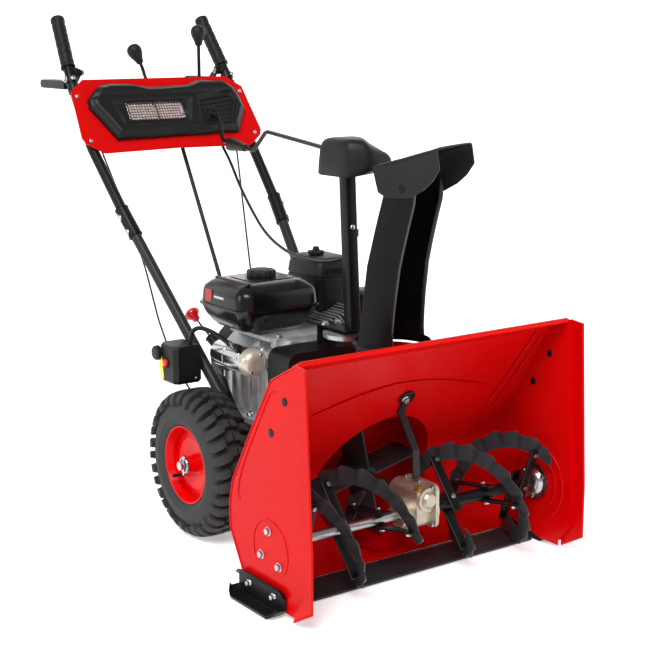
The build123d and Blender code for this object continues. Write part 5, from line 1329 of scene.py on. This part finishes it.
# ---------------------------------------------------------------- handles
@dataclass
class Handles:
    """Grooved grips, clutch paddles and the clamps on the handlebar."""

    grip_base: Point = (222.0, 604.0, 983.0)
    grip_end: Point = (206.0, 702.0, 1126.0)
    grip_length: float = 150.0

    def grip(self, side: int) -> None:
        """A rubber grip with narrow chevron grooves, a collar and a domed end."""
        name = "left" if side > 0 else "right"
        end, base = Vector(self.grip_end), Vector(self.grip_base)
        end.x *= side
        base.x *= side
        up = (end - base).normalized()
        shape = Shape(f"ribbed_grip_{name}", "machine", RUBBER)
        where = place(tuple(end - up * (self.grip_length - 8)), (1, 0, 0), tuple(up))
        around, steps, rings = 64, 110, []
        for step in range(steps + 1):
            along = self.grip_length * step / steps
            ring = []
            for turn in range(around):
                angle = 2 * math.pi * turn / around
                fold = abs(((angle / math.pi) % 2) - 1)
                wave = math.sin(2 * math.pi * (along - 26 * fold) / 24.0)
                rib = 0.9 * (1 - ramp(wave, 0.72, 0.95)) * ramp(along, 8, 12) * (1 - ramp(along, 134, 138))
                radius = 16.2 + rib + 2.0 * (1 - ramp(along, 4, 8)) + 1.2 * ramp(along, 132, 136)
                radius *= math.sqrt(max(0.02, 1 - ramp(along, 139, 150.5) ** 2))
                ring.append(where @ Vector((radius * math.cos(angle), radius * math.sin(angle), along)))
            rings.append(ring)
        shape.loft(rings)
        shape.piece(replaces=("hand_grips",), smooth=70)

    def paddle(self, side: int) -> None:
        """The clutch paddle: a flat bar with a rounded nose on a side plate."""
        name = "left" if side > 0 else "right"
        pivot_y, pivot_z, bar_z = 612.0, 998.0, 968.0
        shape = Shape(f"paddle_bar_{name}", f"paddle_{name}", BLACK_POWDER)
        plate = place((side * 193, 0, 0), (0, 1, 0), (side, 0, 0))
        link = arc((pivot_y, pivot_z), 10, 40, 220, 8) + arc((pivot_y + 32, bar_z), 10, 220, 400, 8)
        shape.slab([(y, z * side) for y, z in (link if side > 0 else reversed(link))], plate, 6, 0.4)
        nose = arc((764, bar_z), 11, -90, 90, 10)
        bar = [(pivot_y + 22, bar_z - 11), *nose, (pivot_y + 22, bar_z + 11)]
        shape.slab([(y, z * side) for y, z in (bar if side > 0 else reversed(bar))], plate, 34, 0.6)
        shape.piece(replaces=(f"clutch_paddle_{name}",), smooth=40, bevel=2.0)

    def clamps(self) -> None:
        """Pivot bolts of the paddles, cable clamps and the grip ends' bright bolts."""
        shape = Shape("handle_bolts", "machine", ZINC)
        straps = Shape("handle_straps", "machine", BLACK_POWDER)
        for side in SIDES.values():
            shape.hex_bolt(place((side * 190.5, 612, 998), (0, 1, 0), (-side, 0, 0)), 11, 4.5, 8)
            shape.hex_bolt(place((side * 236, 604, 984), (0, 1, 0), (side, 0, 0)), 12, 5, 9)
            base, knee = Vector((side * 222, 604, 983)), Vector((side * 224, 499, 824))
            along = (base - knee).normalized()
            for lift in (-4, -30):
                spot = base + along * lift
                straps.lathe([(-8, 13.2), (-7.4, 15.2), (7.4, 15.2), (8, 13.2)],
                             place(tuple(spot), (1, 0, 0), tuple(along)), 32)
            lug = base + along * -4 + Vector((side * 4, -19, 8))
            shape.round_bolt(place(tuple(lug), (1, 0, 0), (0, -0.8, 0.6)), 5.5, 3.5)
            foot, top = Vector((side * 159.5, 20, 296)), Vector((side * 213, 362, 676))
            up_tube = (top - foot).normalized()
            straps.lathe([(-64, 16.2), (-63, 17.2), (-60, 17.2), (-59, 16.2), (13, 16.2), (14, 17.2),
                          (17, 17), (18, 13.6)], place(tuple(top), (1, 0, 0), tuple(up_tube)), 32)
        shape.piece()
        straps.piece()

    def build(self) -> None:
        """Make the handlebar's fittings."""
        for side in SIDES.values():
            self.grip(side)
            self.paddle(side)
        self.clamps()


# ---------------------------------------------------------------- cords
@dataclass(frozen=True)
class Cord:
    """A soft cord: the CAD node it stands for, its thickness and its route."""

    node: str
    radius: float
    route: tuple[Point, ...]

    def build(self) -> None:
        """Lay the cord along its route."""
        spots = [Vector((x, y + AXLE_Y, z)) * MM for x, y, z in self.route]
        curve = bpy.data.curves.new(self.node + "_cord", "CURVE")
        curve.dimensions, curve.bevel_depth, curve.bevel_resolution = "3D", self.radius * MM, 4
        curve.resolution_u, curve.use_fill_caps = 24, True
        line = curve.splines.new("NURBS")
        line.points.add(len(spots) - 1)
        for point, spot in zip(line.points, spots):
            point.co = (*spot, 1.0)
        line.order_u, line.use_endpoint_u = 3, True
        curve.materials.append(CABLE.material())
        cord = bpy.data.objects.new(self.node + "_cord", curve)
        bpy.context.scene.collection.objects.link(cord)
        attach(cord, "machine")
        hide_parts(self.node)


CORDS = (Cord("deflector_cable", 3.6, ((138, 545, 880), (137, 495, 815), (132, 445, 776), (110, 372, 728),
                                       (80, 268, 676), (50, 158, 630), (28, 40, 606), (18, -60, 600),
                                       (15, -150, 608), (14.5, -228, 634), (14.5, -243, 690))),
         Cord("starter_cable", 5.0, ((-205, 78, 415.6), (-205, 78, 440), (-196, 60, 456), (-186, 22, 452),
                                     (-176, -16, 438), (-169, -42, 427), (-169, -61.8, 426.5))))


# ---------------------------------------------------------------- studio
@dataclass
class Studio:
    """Camera, lights and floor."""

    azimuth_deg: float = -35.418
    down_deg: float = 11.981
    roll_deg: float = -0.135
    lens_mm: float = 78.24
    camera_at: Point = (-1.7441, -2.6918, 1.1105)
    floor_colour: str = "#F7F7F7"
    lights: tuple[tuple[str, Point, Point, float, float], ...] = (
        ("key_light", (-1.6, -2.6, 3.0), (0.0, -0.2, 0.45), 1.6, 34.0),
        ("side_light", (-3.2, 0.6, 1.6), (0.0, 0.0, 0.5), 1.4, 22.0),
        ("fill_light", (2.8, -2.4, 1.8), (0.0, -0.3, 0.4), 2.2, 14.0))
    sun_from: Point = (-0.62, -0.52, 0.95)
    sun_energy: float = 2.1
    sun_spread: float = 0.5
    sky_energy: float = 0.36
    floor_glow: float = 0.42

    def camera(self) -> None:
        """A long lens at the front right corner, looking slightly down."""
        turn, down, roll = (math.radians(v) for v in (self.azimuth_deg, self.down_deg, self.roll_deg))
        back = Vector((math.sin(turn) * math.cos(down), -math.cos(turn) * math.cos(down), math.sin(down)))
        right = Vector((math.cos(turn), math.sin(turn), 0))
        up = back.cross(right)
        rolled_right = right * math.cos(roll) + up * math.sin(roll)
        rolled_up = up * math.cos(roll) - right * math.sin(roll)
        lens = bpy.data.cameras.new("camera")
        lens.lens, lens.sensor_width = self.lens_mm, 36.0
        camera = bpy.data.objects.new("camera", lens)
        pose = Matrix((rolled_right, rolled_up, back)).transposed().to_4x4()
        pose.translation = Vector(self.camera_at)
        camera.matrix_world = pose
        bpy.context.scene.collection.objects.link(camera)
        bpy.context.scene.camera = camera

    def lamps(self) -> None:
        """A sun, soft boxes round the machine, an even pale surround and the view transform."""
        for name, at, aim, size, power in self.lights:
            light = bpy.data.lights.new(name, "AREA")
            light.shape, light.size, light.energy = "SQUARE", size, power
            lamp = bpy.data.objects.new(name, light)
            lamp.location = at
            lamp.rotation_euler = (Vector(aim) - Vector(at)).to_track_quat("-Z", "Y").to_euler()
            bpy.context.scene.collection.objects.link(lamp)
        sun = bpy.data.lights.new("sun_light", "SUN")
        sun.energy = self.sun_energy
        sun.angle = self.sun_spread
        lamp = bpy.data.objects.new("sun_light", sun)
        lamp.rotation_euler = (-Vector(self.sun_from)).to_track_quat("-Z", "Y").to_euler()
        bpy.context.scene.collection.objects.link(lamp)
        bpy.context.scene.view_settings.view_transform = "Standard"
        world = bpy.context.scene.world or bpy.data.worlds.new("surround")
        bpy.context.scene.world = world
        world.use_nodes = True
        sky = world.node_tree.nodes["Background"]
        sky.inputs["Color"].default_value = linear("#FFFFFF")
        sky.inputs["Strength"].default_value = self.sky_energy

    def floor(self) -> None:
        """A wide pale floor that sweeps up into a wall behind the machine."""
        mesh = bpy.data.meshes.new("studio_floor")
        reach, wall, bend = 40.0, 9.0, 3.0
        turn = math.radians(self.azimuth_deg)
        across, away = Vector((math.cos(turn), math.sin(turn), 0)), Vector((-math.sin(turn), math.cos(turn),
                                                                            0))
        profile = [(-reach, 0.0), (wall, 0.0)]
        profile += [(wall + bend * math.sin(k * math.pi / 24), bend - bend * math.cos(k * math.pi / 24))
                    for k in range(1, 13)]
        profile.append((wall + bend, 16.0))
        spots = [away * run + across * side + Vector((0, 0, rise)) for run, rise in profile
                 for side in (-reach, reach)]
        faces = [(2 * k, 2 * k + 1, 2 * k + 3, 2 * k + 2) for k in range(len(profile) - 1)]
        mesh.from_pydata(spots, [], faces)
        finish = Finish("studio_paper", self.floor_colour, self.floor_colour, "", (0.7, 0.8), grain_mm=3,
                        grain_depth_mm=0.01, glow=self.floor_glow)
        mesh.materials.append(finish.material())
        sheet = bpy.data.objects.new("studio_floor", mesh)
        bpy.context.scene.collection.objects.link(sheet)

    def build(self) -> None:
        """Set up the studio."""
        self.camera()
        self.lamps()
        self.floor()


def corners(bounds: tuple[Vector, Vector]) -> list[list[float]]:
    """A box's two corners as plain lists."""
    return [[float(v) for v in corner] for corner in bounds]


def main() -> None:
    """Build the snow blower's visible pieces in order."""
    logging.basicConfig(level=logging.INFO, format="%(message)s")
    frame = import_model()
    Studio().build()
    dress_frame(frame["nodes"])
    for part in (Wheels(), Housing(), Auger(), Engine(), Chute(), Dash(), Handles(), *CORDS):
        part.build()
        log.info("finished %s", type(part).__name__)


if __name__ == "__main__":
    main()
